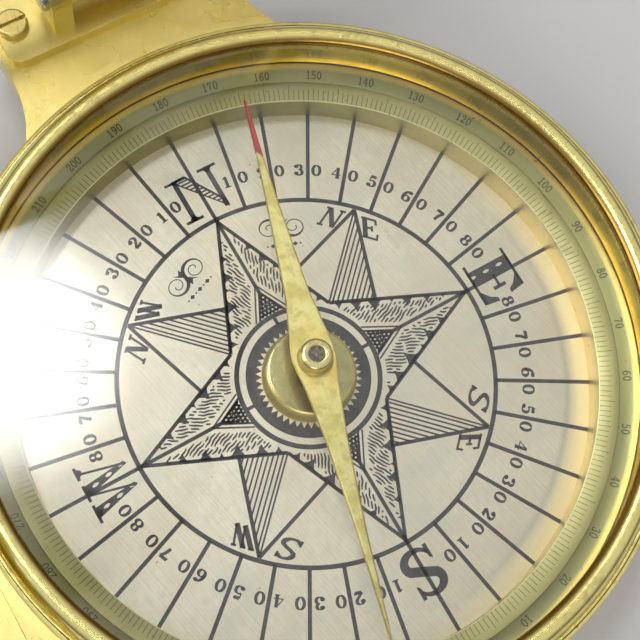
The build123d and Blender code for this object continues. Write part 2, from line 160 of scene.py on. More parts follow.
DIGITS = {
    "0": [("nib", arc(0.31, 0.5, 0.23, 0.45, 0, 360))],
    "1": [("broad", [(0.31, 0.02), (0.31, 0.97)]), ("fine", [(0.13, 0.82), (0.31, 0.95)]),
          *serifs((0.1, 0.52, 0.03))],
    "2": [("nib", arc(0.29, 0.71, 0.2, 0.24, 170, -35) + vectors((0.08, 0.07))),
          ("broad", [(0.1, 0.08), (0.52, 0.08)]), ("fine", [(0.52, 0.04), (0.56, 0.24)]),
          ("dot", [(0.12, 0.74)])],
    "3": [("nib", arc(0.27, 0.74, 0.18, 0.21, 160, -90)),
          ("nib", arc(0.27, 0.28, 0.22, 0.25, 90, -155)),
          ("dot", [(0.12, 0.82)]), ("dot", [(0.1, 0.2)])],
    "4": [("fine", [(0.4, 0.98), (0.03, 0.3), (0.6, 0.3)]), ("broad", [(0.41, 0.98), (0.41, 0.02)]),
          *serifs((0.26, 0.56, 0.03))],
    "5": [("broad", [(0.15, 0.93), (0.5, 0.93)]), ("fine", [(0.15, 0.95), (0.12, 0.52)]),
          ("nib", arc(0.28, 0.32, 0.22, 0.28, 130, -150)), ("dot", [(0.1, 0.16)])],
    "6": [("nib", arc(0.31, 0.29, 0.21, 0.26, 0, 360)), ("nib", arc(0.46, 0.3, 0.37, 0.66, 100, 180)),
          ("dot", [(0.48, 0.9)])],
    "7": [("broad", [(0.07, 0.91), (0.55, 0.91)]), ("nib", [(0.53, 0.92), (0.34, 0.5), (0.24, 0.02)]),
          ("fine", [(0.08, 0.96), (0.06, 0.76)])],
    "8": [("nib", arc(0.31, 0.73, 0.17, 0.21, 0, 360)), ("nib", arc(0.31, 0.27, 0.22, 0.24, 0, 360))],
    "9": [("nib", arc(0.31, 0.71, 0.21, 0.26, 0, 360)), ("nib", arc(0.16, 0.7, 0.37, 0.66, -80, 0)),
          ("dot", [(0.14, 0.1)])],
}

LETTERS = {
    "N": [("fine", [(0.17, 0), (0.17, 1)]), ("broad", [(0.2, 1), (0.82, 0.02)]),
          ("fine", [(0.84, 0), (0.84, 1)]),
          *serifs((0, 0.3, 0.98), (0.02, 0.34, 0.02), (0.68, 1, 0.98))],
    "E": [("broad", [(0.2, 0), (0.2, 1)]), ("fine", [(0.04, 0.97), (0.76, 0.97), (0.78, 0.74)]),
          ("fine", [(0.04, 0.03), (0.78, 0.03), (0.84, 0.3)]), ("fine", [(0.2, 0.52), (0.56, 0.52)]),
          ("fine", [(0.56, 0.66), (0.56, 0.38)])],
    "S": [("nib", arc(0.4, 0.75, 0.25, 0.22, 20, 200) + vectors((0.3, 0.56), (0.5, 0.44))
           + arc(0.4, 0.25, 0.27, 0.22, 15, -170)),
          ("fine", [(0.66, 0.98), (0.66, 0.72)]), ("fine", [(0.11, 0.3), (0.11, 0.02)])],
    "W": [("broad", [(0.15, 1), (0.42, 0)]), ("fine", [(0.42, 0), (0.66, 1)]),
          ("broad", [(0.6, 1), (0.86, 0)]), ("fine", [(0.86, 0), (1.1, 1)]),
          *serifs((0, 0.32, 0.98), (0.46, 0.76, 0.98), (0.96, 1.24, 0.98))],
}

ROMAN = {
    "I": [("broad", [(0.16, 0), (0.16, 1)]), *serifs((0, 0.32, 0.98), (0, 0.32, 0.02))],
    "V": [("broad", [(0.14, 1), (0.42, 0)]), ("fine", [(0.42, 0), (0.68, 1)]),
          *serifs((0, 0.3, 0.98), (0.56, 0.82, 0.98))],
    "X": [("broad", [(0.14, 1), (0.66, 0)]), ("fine", [(0.66, 1), (0.14, 0)]),
          *serifs((0, 0.3, 0.98), (0.54, 0.8, 0.98), (0, 0.28, 0.02), (0.5, 0.82, 0.02))],
}

ADVANCE = {**dict.fromkeys(DIGITS, 0.72), "I": 0.38, "V": 0.84, "X": 0.86}


# --- Artwork: closed shapes a hair thick, laid on a surface ---


def mesh_object(mesh, name, material):
    """An object in the scene from a bmesh."""
    data = bpy.data.meshes.new(name)
    mesh.to_mesh(data)
    mesh.free()
    data.materials.append(material)
    return scene_object(name, data)


def scene_object(name, data):
    thing = bpy.data.objects.new(name, data)
    scene.collection.objects.link(thing)
    return thing


def piece_from(mesh, name, finish, body, smooth=True, flat_faces=False):
    """A piece from a bmesh, with its finish, riding on a body."""
    piece = mesh_object(mesh, name, finish)
    if smooth:
        piece.data.shade_smooth()
        piece.data.set_sharp_from_angle(angle=math.radians(32))
    for face in piece.data.polygons if flat_faces else ():
        if abs(face.normal.z) > 0.999:
            face.use_smooth = False
    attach(piece, body)
    return piece


def band(mesh, rows, closed=False):
    """Faces between rows of vertices, each row running round once."""
    for here, after in zip(rows, rows[1:] + rows[:1] if closed else rows[1:]):
        for i in range(len(here)):
            j = (i + 1) % len(here)
            mesh.faces.new((here[i], here[j], after[j], after[i]))


class Artwork:
    """Cut or printed marks. place(x, y, lift) gives the surface point that much proud of it."""

    def __init__(self, place, rise=0.012, sink=0.05):
        self.place = place
        self.rise = rise
        self.sink = sink
        self.mesh = bmesh.new()

    def vertex(self, point, lift):
        return self.mesh.verts.new(Vector(self.place(point[0], point[1], lift)) * MM)

    def polygon(self, points):
        """A filled outline."""
        upper = [self.vertex(p, self.rise) for p in points]
        lower = [self.vertex(p, -self.sink) for p in points]
        self.mesh.faces.new(upper)
        self.mesh.faces.new(lower[::-1])
        band(self.mesh, [lower, upper])

    def strip(self, left, right, closed=False):
        """A filled strip between two lines that have as many points each."""
        rows = [
            [self.vertex(a, self.rise), self.vertex(b, self.rise),
             self.vertex(b, -self.sink), self.vertex(a, -self.sink)]
            for a, b in zip(left, right)
        ]
        band(self.mesh, rows, closed)
        if not closed:
            self.mesh.faces.new(rows[0][::-1])
            self.mesh.faces.new(rows[-1])

    def ribbon(self, points, widths):
        """A line of one width, or of a width for each point. It closes where it ends at its start."""
        points = vectors(*points)
        closed = len(points) > 3 and (points[0] - points[-1]).length < 1e-6
        if closed:
            points = points[:-1]
        if not isinstance(widths, (list, tuple)):
            widths = [widths] * len(points)
        last = len(points) - 1
        left = []
        right = []
        for i, point in enumerate(points):
            before = points[i - 1] if i or closed else point
            after = points[(i + 1) % len(points)] if i < last or closed else point
            into = (point - before).normalized() if point != before else (after - point).normalized()
            out = (after - point).normalized() if point != after else into
            middle = (into + out).normalized()
            reach = widths[i] / 2 / max(0.6, middle.dot(out))
            side = Vector((-middle.y, middle.x)) * reach
            left.append(point + side)
            right.append(point - side)
        self.strip(left, right, closed)

    def ring(self, inner, outer):
        """A round band."""
        azimuths = [360 * i / SEGMENTS for i in range(SEGMENTS)]
        self.strip([polar(outer, a) for a in azimuths], [polar(inner, a) for a in azimuths], True)

    def tick(self, inner, outer, azimuth, width):
        """A short radial line."""
        self.ribbon([polar(inner, azimuth), polar(outer, azimuth)], width)

    def hatch(self, corners, direction, spacing, width, start=0.5):
        """Parallel lines across a convex outline, the first this share of the spacing inside it."""
        along = Vector(direction).normalized()
        across = Vector((-along.y, along.x))
        corners = vectors(*corners)
        levels = [c.dot(across) for c in corners]
        level = min(levels) + spacing * start
        while level < max(levels):
            cuts = []
            for i, a in enumerate(corners):
                b = corners[(i + 1) % len(corners)]
                here = a.dot(across) - level
                there = b.dot(across) - level
                if here * there < 0:
                    cuts.append(lerp(a, b, here / (here - there)))
            if len(cuts) == 2 and (cuts[1] - cuts[0]).length > width:
                self.ribbon(cuts, width)
            level += spacing

    def glyph(self, strokes, to_sheet, height, broad=0.17, fine=0.07):
        """Draws strokes with to_sheet(point) from the glyph's box to the sheet."""
        for pen, points in strokes:
            points = vectors(*points)
            if pen == "dot":
                round_dot = arc(*points[0], broad * 0.6, broad * 0.6, 0, 324, 36)
                self.polygon([to_sheet(p) for p in round_dot])
                continue
            widths = []
            for i, point in enumerate(points):
                before = points[i - 1] if i else point
                after = points[i + 1] if i < len(points) - 1 else point
                if i in (0, len(points) - 1) and (points[0] - points[-1]).length < 1e-6:
                    before, after = points[-2], points[1]
                run = after - before
                upright = (abs(run.y) / run.length) ** 1.5
                widths.append({"nib": lerp(fine, broad, upright), "fine": fine, "broad": broad}[pen])
            self.ribbon([to_sheet(p) for p in points], [w * height for w in widths])

    def write(self, symbols, table, to_sheet, height, lead=0.05, **pens):
        """Symbols in a row centred on x = 0, with to_sheet(x, y) in units of the height."""
        cursor = -sum(ADVANCE[s] for s in symbols) / 2
        for symbol in symbols:
            shift = cursor + lead
            self.glyph(table[symbol], lambda p: to_sheet(p.x + shift, p.y - 0.5), height, **pens)
            cursor += ADVANCE[symbol]

    def text(self, symbols, table, radius, azimuth, height, squeeze=1.0, lead=0.05, **pens):
        """Symbols along a circle, their tops outward, centred on an azimuth at mid height."""

        def to_sheet(x, y):
            return polar(radius + y * height, azimuth + math.degrees(x * height * squeeze / radius))

        self.write(symbols, table, to_sheet, height, lead, **pens)

    def finish(self, name, finish, body):
        """Makes the piece and sets it on its body."""
        bmesh.ops.recalc_face_normals(self.mesh, faces=self.mesh.faces)
        return piece_from(self.mesh, name, finish, body, smooth=False)


# --- Finishes ---


class Graph:
    """A node tree, with short ways to add nodes and to set or link their sockets."""

    def __init__(self, owner):
        owner.use_nodes = True
        self.tree = owner.node_tree

    def plug(self, socket, value):
        """Links a socket to an output, or sets it."""
        if isinstance(value, bpy.types.NodeSocket):
            self.tree.links.new(value, socket)
        else:
            socket.default_value = value

    def node(self, kind, inputs=None, **settings):
        node = self.tree.nodes.new("ShaderNode" + kind)
        for key, value in settings.items():
            setattr(node, key, value)
        for key, value in (inputs or {}).items():
            self.plug(node.inputs[key], value)
        return node

    def math(self, operation, *values):
        return self.node("Math", dict(enumerate(values)), operation=operation).outputs[0]

    def ramp(self, value, low, high, start=0.0, end=1.0, **settings):
        """Maps low..high to start..end, and holds the ends."""
        inputs = {"Value": value, "From Min": low, "From Max": high, "To Min": start, "To Max": end}
        return self.node("MapRange", inputs, **settings).outputs["Result"]


class Finish(Graph):
    """A solid material, with short ways to add grain, tarnish and relief of sizes in millimetres."""

    def __init__(self, name, colour, metallic, roughness):
        self.material = bpy.data.materials.new(name)
        super().__init__(self.material)
        self.bsdf = self.tree.nodes["Principled BSDF"]
        self.bsdf.inputs["Base Color"].default_value = (*colour, 1)
        self.bsdf.inputs["Metallic"].default_value = metallic
        self.bsdf.inputs["Roughness"].default_value = roughness
        self.colour = self.node("RGB").outputs[0]
        self.colour.default_value = (*colour, 1)
        self.roughness = roughness
        self.relief = None
        self.place = self.node("TexCoord").outputs["Object"]

    def both(self, a, b):
        return self.math("MULTIPLY", a, b)

    def vector(self, operation, a, b, output=0):
        return self.node("VectorMath", {0: a, 1: b}, operation=operation).outputs[output]

    def shifted(self, origin):
        """Coordinates from a point."""
        return self.vector("SUBTRACT", self.place, Vector(origin) * MM)

    def along(self, direction, origin=(0, 0, 0)):
        """Distance along a direction, in metres."""
        return self.vector("DOT_PRODUCT", self.shifted(origin), Vector(direction).normalized(), "Value")

    def radius(self, origin=(0, 0, 0), axis=UP):
        """Distance from an axis, in metres."""
        cross = self.vector("CROSS_PRODUCT", self.shifted(origin), Vector(axis).normalized())
        return self.node("VectorMath", {0: cross}, operation="LENGTH").outputs["Value"]

    def turning(self, slope, origin=(0, 0, 0), axis=UP):
        """The path of a turning tool: across the radius and, less steeply, down the axis."""
        return self.math("MULTIPLY_ADD", self.along(axis, origin), slope, self.radius(origin, axis))

    def off(self, distance, level):
        """How far a distance is from a level, either way."""
        return self.math("ABSOLUTE", self.math("SUBTRACT", distance, level * MM))

    def zone(self, distance, low, high, share=1.0):
        """Nothing at one distance and a share at another."""
        return self.ramp(distance, low * MM, high * MM, 0, share)

    def noise(self, size, detail, stretch=(1, 1, 1)):
        """Cloudy noise whose blotches are about this size."""
        place = self.vector("MULTIPLY", self.place, stretch)
        inputs = {"Vector": place, "Scale": 1 / (size * MM), "Detail": detail, "Roughness": 0.55}
        return self.node("TexNoise", inputs).outputs["Fac"]

    def lines(self, distance, size, detail):
        """Noise that varies along one distance only, as turning or brushing leaves it."""
        inputs = {"W": distance, "Scale": 1 / (size * MM), "Detail": detail}
        return self.node("TexNoise", inputs, noise_dimensions="1D").outputs["Fac"]

    def tint(self, share, colour):
        """Lays a colour over what is there, by a share from 0 to 1."""
        inputs = {0: share, 6: self.colour, 7: (*colour, 1)}
        self.colour = self.node("Mix", inputs, data_type="RGBA").outputs[2]

    def paint(self, distance, low, high, share, colour):
        """Lays on a colour from nothing at one distance to a share at another, and gives its mask."""
        mask = self.zone(distance, low, high, share)
        self.tint(mask, colour)
        return mask

    def streaks(self, value, low, high, share, colour):
        """Lays a colour where a noise lies high, up to a share."""
        self.tint(self.ramp(value, low, high, 0, share), colour)

    def clouds(self, *rows, within=None):
        """Lays on rows (size, detail, low, high, share, colour, stretch), over all or within a mask."""
        for size, detail, low, high, share, colour, *stretch in rows:
            patches = self.ramp(self.noise(size, detail, *stretch), low, high, 0, share)
            self.tint(self.both(within, patches) if within else patches, colour)

    def roughen(self, value, amount):
        """Adds noise, centred on one half, to the roughness."""
        centred = self.math("MULTIPLY_ADD", value, amount, -amount / 2)
        self.roughness = self.math("ADD", centred, self.roughness)

    def mottle(self, size, detail, amount):
        """Roughens in blotches."""
        self.roughen(self.noise(size, detail), amount)

    def dull(self, share, amount):
        """Raises the roughness by an amount where the share is one."""
        self.roughness = self.math("MULTIPLY_ADD", share, amount, self.roughness)

    def bump(self, height, depth):
        """Adds relief."""
        inputs = {"Strength": 1.0, "Distance": depth * MM, "Height": height}
        if self.relief:
            inputs["Normal"] = self.relief
        self.relief = self.node("Bump", inputs).outputs["Normal"]

    def dent(self, size, detail, depth):
        """Adds relief in blotches."""
        self.bump(self.noise(size, detail), depth)

    def score(self, value, amount, depth):
        """Roughens and adds relief along the same lines."""
        self.roughen(value, amount)
        self.bump(value, depth)

    def done(self):
        self.plug(self.bsdf.inputs["Base Color"], self.colour)
        self.plug(self.bsdf.inputs["Roughness"], self.roughness)
        if self.relief:
            self.plug(self.bsdf.inputs["Normal"], self.relief)
        return self.material


# Colours are linear
PALE_BRASS = (0.88, 0.77, 0.30)
BRASS = (0.78, 0.64, 0.23)
OLIVE_BRASS = (0.54, 0.47, 0.16)
DEEP_BRASS = (0.44, 0.27, 0.05)
# Used only as painted shade inside the bezel's crest
PAINTED_SHADE_BROWN = (0.26, 0.14, 0.02)
SCREW_BRASS = (0.66, 0.54, 0.20)
TARNISH = (0.16, 0.09, 0.03)
SILVER = (0.78, 0.74, 0.61)
SILVER_WARM = (0.70, 0.61, 0.46)
SILVER_COOL = (0.61, 0.62, 0.53)
STEEL = (0.50, 0.50, 0.50)
AGATE = (0.10, 0.085, 0.06)
BLACK_WAX = (0.048, 0.048, 0.052)
CUT_LINE = (0.085, 0.080, 0.035)
RED_LACQUER = (0.50, 0.035, 0.05)


def patina(finish, deep, specks):
    """Slow drifts of tone, small tarnish specks and wiping marks that any handled brass has."""
    finish.clouds((9, 4, 0.42, 0.72, 0.55, deep), (0.9, 2, 0.70, 0.78, specks, TARNISH))
    finish.mottle(5, 5, 0.16)
    finish.mottle(0.7, 2, 0.08)


def turned_brass(name, deep=OLIVE_BRASS, rough=0.32, origin=(0, 0, 0), axis=UP):
    """Brass from the lathe: fine rings about its axis."""
    finish = Finish(name, BRASS, 1.0, rough)
    path = finish.turning(0.83, origin, axis)
    fine = finish.lines(path, 0.09, 3)
    broad = finish.lines(path, 0.8, 4)
    patina(finish, deep, 0.5)
    finish.streaks(broad, 0.5, 0.75, 0.35, deep)
    finish.score(fine, 0.12, 0.0035)
    finish.bump(broad, 0.010)
    return finish.done()


def case_brass():
    """The case: turned all round, with satin lugs that carry no turning rings."""
    finish = Finish("case_turned_brass", BRASS, 1.0, 0.34)
    turned = finish.zone(finish.radius(), 41.5, 41.2)
    fine = finish.both(finish.lines(finish.turning(0.83), 0.09, 3), turned)
    finish.clouds((9, 4, 0.42, 0.72, 0.55, OLIVE_BRASS), (2.2, 3, 0.50, 0.72, 0.35, PALE_BRASS),
                  (1.1, 1, 0.72, 0.80, 0.35, TARNISH))
    finish.mottle(5, 2, 0.12)
    finish.score(fine, 0.12, 0.0035)
    finish.dent(5, 1, 0.006)
    return finish.done()


def bezel_brass():
    """The bezel: rubbed bright over its bead, with painted shade in brown inside the crest and painted
    golden light on its bore.
    """
    finish = Finish("bezel_turned_brass", PALE_BRASS, 1.0, 0.20)
    radius = finish.radius()
    path = finish.turning(0.83)
    fine = finish.lines(path, 0.07, 3)
    finish.clouds((7, 4, 0.45, 0.7, 0.5, BRASS), (1.3, 4, 0.52, 0.72, 0.55, OLIVE_BRASS))
    finish.streaks(finish.lines(path, 0.45, 4), 0.52, 0.72, 0.4, BRASS)
    # Painted shade: the crest's inner slope, which lies in shade, is tinted dark brown
    finish.paint(radius, 37.5, 37.1, 0.92, PAINTED_SHADE_BROWN)
    # Painted light: the bore's wall under the glass is tinted bright, mottled gold to stand for the
    # light it catches
    under_glass = finish.zone(finish.along(UP), glass_high - 0.2, glass_low)
    bore = finish.both(finish.zone(radius, 38.2, 38.0), under_glass)
    finish.tint(bore, (1.0, 0.78, 0.12))
    finish.clouds((2.6, 4, 0.48, 0.66, 0.6, (0.66, 0.55, 0.11)), within=bore)
    finish.paint(finish.off(radius, flange - 0.48), 0.07, 0.03, 0.8, TARNISH)
    finish.clouds((0.6, 2, 0.70, 0.76, 0.6, TARNISH))
    finish.mottle(0.8, 2, 0.22)
    finish.score(fine, 0.10, 0.002)
    finish.dent(1.5, 1, 0.008)
    return finish.done()


def brushed_brass(name, direction, colour=BRASS, deep=OLIVE_BRASS, rough=0.32, specks=0.5):
    """Flat brass rubbed down one way, so the grain runs along a direction."""
    finish = Finish(name, colour, 1.0, rough)
    grain = finish.lines(finish.along(Vector(direction).normalized().cross(UP)), 0.11, 3)
    patina(finish, deep, specks)
    finish.score(grain, 0.16, 0.003)
    finish.dent(2.5, 4, 0.012)
    return finish.done()


def needle_brass():
    """The needle: pale yellow, rubbed along its length, smudged and a little golden at its middle."""
    finish = Finish("needle_brass", (0.70, 0.635, 0.27), 1.0, 0.36)
    line = Vector((*polar(1, needle_azimuth), 0))
    grain = finish.lines(finish.along(line.cross(UP)), 0.13, 3)
    finish.clouds((2.2, 5, 0.44, 0.60, 0.9, (0.54, 0.46, 0.14)),
                  (1.0, 4, 0.52, 0.66, 0.65, (0.44, 0.37, 0.12)))
    finish.streaks(grain, 0.46, 0.74, 0.5, (0.52, 0.44, 0.14))
    finish.paint(finish.along(UP), needle_high - 0.012, needle_high - 0.05, 0.8, (0.98, 0.78, 0.30))
    middle = finish.zone(finish.radius(), 6.0, 2.4, 0.5)
    finish.clouds((1.5, 3, 0.42, 0.6, 1.0, (0.90, 0.60, 0.12)), within=middle)
    finish.clouds((0.4, 2, 0.68, 0.74, 0.55, DEEP_BRASS))
    finish.mottle(1.6, 4, 0.26)
    finish.score(grain, 0.18, 0.005)
    finish.dent(1.8, 4, 0.03)
    return finish.done()


def hub_brass():
    """The hub: a polished olive face with faint rings, and a wall painted brighter gold to stand for
    the light on it.
    """
    finish = Finish("hub_turned_brass", (0.50, 0.455, 0.21), 1.0, 0.17)
    radius = finish.radius()
    fine = finish.lines(radius, 0.12, 3)
    finish.clouds((1.6, 4, 0.45, 0.66, 0.6, (0.38, 0.35, 0.15)))
    # Painted light: the hub's wall is tinted bright gold, brighter than the face, so that it looks lit
    wall = finish.paint(radius, 4.85, 5.15, 1, (0.95, 0.78, 0.27))
    finish.clouds((0.5, 2, 0.68, 0.75, 0.5, TARNISH))
    finish.mottle(1.4, 4, 0.10)
    finish.score(fine, 0.05, 0.0015)
    finish.dull(wall, 0.26)
    finish.dent(1.6, 3, 0.004)
    return finish.done()


def cap_brass():
    """The cap: bright over its rounded top, with painted shade in dull gold on the collar round its
    foot.
    """
    finish = Finish("cap_brass", (0.80, 0.70, 0.32), 1.0, 0.20)
    finish.clouds((1.2, 4, 0.45, 0.7, 0.5, (0.58, 0.50, 0.20)))
    # Painted shade: the collar round the cap's foot is darkened to a dim gold where a ring of shadow
    # lies
    collar = finish.paint(finish.radius(), cap_radius + 0.02, cap_radius + 0.06, 1, (0.62, 0.46, 0.13))
    finish.score(finish.lines(finish.turning(0.8), 0.08, 3), 0.10, 0.002)
    finish.dull(collar, 0.25)
    finish.dent(0.5, 3, 0.004)
    return finish.done()


def silvered():
    """Silvered brass, rubbed and mottled with age, with a painted golden reflection of the ring's wall
    round its edge, strongest towards the south-east, and a painted shadow line beside it there.
    """
    finish = Finish("silvered_dial", SILVER, 0.5, 0.44)
    radius = finish.radius()
    finish.clouds((11, 5, 0.40, 0.66, 0.7, SILVER_WARM),
                  (8, 4, 0.48, 0.66, 0.7, SILVER_COOL, (1, 1.4, 1)),
                  (2.6, 5, 0.48, 0.70, 0.45, SILVER_WARM),
                  (1.0, 4, 0.50, 0.72, 0.5, SILVER_COOL, (1.3, 1, 1)),
                  (0.9, 2, 0.76, 0.80, 0.6, TARNISH))
    grain = finish.lines(finish.along((1, 0.22, 0)), 0.16, 3)
    wiping = finish.noise(0.3, 2, (1, 0.12, 1))
    finish.streaks(grain, 0.46, 0.74, 0.6, (0.56, 0.52, 0.40))
    finish.streaks(wiping, 0.54, 0.70, 0.4, SILVER_WARM)
    # Painted reflection: next to the ring's wall the silvered face is tinted gold, as if it mirrored
    # the lit wall, strongly on the south-east side
    painted_light_side = finish.zone(finish.along((*polar(1, 126), 0)), 17, 31)
    golden = finish.zone(radius, scale_inner - 2.6, scale_inner - 1.4, 0.85)
    finish.tint(finish.both(golden, painted_light_side), (0.95, 0.81, 0.48))
    # Painted shadow: a soft darker line along the inner side of that golden band, on the south-east
    # side
    border = finish.zone(finish.off(radius, scale_inner - 2.65), 0.6, 0, 0.35)
    finish.tint(finish.both(border, painted_light_side), (0.36, 0.33, 0.26))
    # Painted reflection: a fainter gold tint next to the ring's wall all round
    finish.paint(radius, scale_inner - 1.3, scale_inner - 0.1, 0.3, (0.84, 0.68, 0.34))
    finish.score(grain, 0.16, 0.004)
    finish.score(wiping, 0.14, 0.004)
    finish.mottle(0.3, 3, 0.12)
    finish.dent(0.6, 2, 0.008)
    return finish.done()


def scale_brass():
    """The degree ring: paler at its inner edge, with a painted highlight along that edge and painted
    light on the east-south-east inner wall; green-brown beside the figures, partly painted shade, and
    yellow outside.
    """
    finish = Finish("degree_ring_brass", (0.375, 0.348, 0.165), 1.0, 0.36)
    radius = finish.radius()
    finish.paint(radius, scale_inner + 0.2, scale_step - 0.3, 1, (0.295, 0.272, 0.107))
    finish.clouds((5, 4, 0.44, 0.70, 0.45, (0.27, 0.25, 0.10)))
    # Partly the ring's own tone and partly painted shade: a darker green-grey over the figures' band,
    # standing for the dark glass edge mirrored in it
    figures = finish.paint(radius, scale_step + 0.02, scale_step + 0.10, 0.75, (0.305, 0.295, 0.115))
    finish.clouds((6, 3, 0.42, 0.62, 0.6, (0.24, 0.26, 0.14)), within=figures)
    edge = finish.paint(radius, scale_outer - 1.05, scale_outer - 0.6, 0.95, (0.72, 0.54, 0.15))
    finish.clouds((2.4, 4, 0.50, 0.64, 0.7, (0.60, 0.44, 0.12)), within=edge)
    # Painted highlight: a pale line along the chamfer of the inner edge, where it catches the light
    lip = finish.both(finish.zone(radius, scale_inner + 0.13, scale_inner + 0.07, 0.8),
                      finish.zone(finish.along(UP), scale_inner_z - 0.22, scale_inner_z - 0.1))
    finish.tint(lip, (0.80, 0.74, 0.42))
    # Painted light: the inner wall is tinted bright gold on the east-south-east side only, where it
    # faces the light from the west
    wall = finish.both(finish.zone(radius, scale_inner + 0.06, scale_inner + 0.03),
                       finish.zone(finish.along((*polar(1, 118), 0)), 6, 30))
    finish.tint(wall, (0.93, 0.80, 0.45))
    for azimuth, distance, size in ((-81.7, 34.2, 0.32), (-81.2, 36.0, 0.30), (62, 37.1, 0.25)):
        finish.paint(finish.radius((*polar(distance, azimuth), 0)), size, size * 0.3, 0.8, TARNISH)
    finish.clouds((0.55, 2, 0.68, 0.75, 0.6, TARNISH))
    finish.score(finish.lines(finish.turning(0.7), 0.07, 3), 0.16, 0.003)
    finish.mottle(1.2, 4, 0.14)
    return finish.done()


def flecked(name, colour, metallic, rough, mottling, denting, *clouds):
    """A finish with no grain, such as stone or wax."""
    finish = Finish(name, colour, metallic, rough)
    finish.clouds(*clouds)
    finish.mottle(*mottling)
    finish.dent(*denting)
    return finish.done()


def plain(name, colour, metallic, rough, grain=0.4):
    """A fine-grained even finish, such as lacquer or polished steel."""
    darker = tuple(c * 0.62 for c in colour)
    return flecked(name, colour, metallic, rough, (grain, 3, 0.2), (grain * 0.5, 2, 0.004),
                   (grain * 4, 3, 0.4, 0.75, 0.5, darker))


def glass_finish():
    """Thin clear glass that lets what is behind show straight through.

    Only the side that faces the eye reflects, so its index is raised to stand for both sides.
    """
    material = bpy.data.materials.new("crystal_glass")
    graph = Graph(material)
    graph.tree.nodes.clear()
    fresnel = graph.node("Fresnel", {"IOR": 1.7}).outputs[0]
    front = graph.math("SUBTRACT", 1.0, graph.node("NewGeometry").outputs["Backfacing"])
    share = graph.math("MULTIPLY", fresnel, front)
    clear = graph.node("BsdfTransparent", {"Color": (0.985, 0.99, 0.98, 1)}).outputs[0]
    gloss = graph.node("BsdfGlossy", {"Roughness": 0.05}).outputs[0]
    mix = graph.node("MixShader", {0: share, 1: clear, 2: gloss}).outputs[0]
    graph.node("OutputMaterial", {"Surface": mix})
    return material


bar_finish = brushed_brass("bar_brass", (1, 0, 0), PALE_BRASS, BRASS, 0.26)
screw_finish = brushed_brass("screw_brass", (0.3, 1, 0), SCREW_BRASS, DEEP_BRASS, 0.30, 0.8)
steel_finish = plain("pivot_steel", STEEL, 1.0, 0.25)
cut_finish = plain("cut_line", CUT_LINE, 0.6, 0.5, 0.2)

# Printing black, a little worn so that pale specks show through
wax_finish = flecked("black_wax", BLACK_WAX, 0.0, 0.52, (0.5, 3, 0.25), (0.12, 2, 0.004),
                     (1.4, 5, 0.42, 0.70, 0.8, (0.085, 0.085, 0.096)),
                     (0.22, 3, 0.62, 0.74, 0.6, (0.24, 0.235, 0.22)))

# Polished grey-brown stone with paler flecks
agate_finish = flecked("agate", AGATE, 0.0, 0.14, (0.4, 3, 0.10), (0.5, 3, 0.02),
                       (0.5, 4, 0.42, 0.62, 0.9, (0.26, 0.23, 0.16)),
                       (0.22, 2, 0.64, 0.72, 0.8, (0.50, 0.46, 0.34)))

node_finishes = {
    "case_body": case_brass(),
    "base_plate": turned_brass("base_turned_brass", DEEP_BRASS, 0.34),
    "dial_plate": silvered(),
    "ring_bracket": brushed_brass("bracket_brass", (1, 0, 0)),
    "arc_bracket": brushed_brass("arc_bracket_brass", (0, 1, 0)),
    "hour_ring": turned_brass("hour_ring_brass", origin=ring_origin, axis=ring_normal),
    "latitude_arc": turned_brass("latitude_arc_brass", origin=hinge, axis=ring_east),
    "glass": glass_finish(),
    "cap_jewel": agate_finish,
    **dict.fromkeys(("index_pointer", "gnomon_bar"), bar_finish),
    **dict.fromkeys(("gnomon_rod", "pivot_pin", "ring_hinge_pin", "arc_hinge_pin"), steel_finish),
    **dict.fromkeys(("glass_spring_ring", "base_screws", "dial_screws", "ring_bracket_screws",
                     "arc_bracket_screws", "pointer_rivets"), screw_finish),
}
for name, finish in node_finishes.items():
    for slot in nodes[name].material_slots:
        slot.material = finish


# --- Turned pieces ---


def corner(before, at, after, radius, steps):
    """Points that round a corner of a profile with an arc of about this radius."""
    before, at, after = vectors(before, at, after)
    start = at + (before - at).normalized() * radius
    end = at + (after - at).normalized() * radius
    shares = [i / steps for i in range(steps + 1)]
    return [start * (1 - t) ** 2 + at * 2 * t * (1 - t) + end * t ** 2 for t in shares]


def lathe(name, profile, finish, body, segments=SEGMENTS):
    """A solid of revolution about z from a closed profile of (radius, level)."""
    mesh = bmesh.new()
    rows = []
    for i in range(segments):
        a = 2 * math.pi * i / segments
        rows.append([mesh.verts.new(Vector((r * math.cos(a), r * math.sin(a), z)) * MM)
                     for r, z in profile])
    band(mesh, rows, True)
    bmesh.ops.remove_doubles(mesh, verts=mesh.verts, dist=1e-8)
    bmesh.ops.recalc_face_normals(mesh, faces=mesh.faces)
    piece = piece_from(mesh, name, finish, body)
    return piece


def bead_profile(foot, crest, lip, crest_rise, outer_steps=14, inner_steps=8):
    """The bezel's round bead, from its foot over the crest to the lip over the glass."""
    (r0, z0), (r1, z1), (r2, z2) = foot, crest, lip
    rising = [math.pi / 2 * i / outer_steps for i in range(outer_steps + 1)]
    falling = [math.pi / 2 * i / inner_steps for i in range(1, inner_steps + 1)]
    outer = [(lerp(r0, r1, 1 - math.cos(t)), lerp(z0, z1, math.sin(t) ** crest_rise)) for t in rising]
    inner = [(lerp(r1, r2, math.sin(t)), lerp(z1, z2, 1 - math.cos(t))) for t in falling]
    return vectors(*outer, *inner)


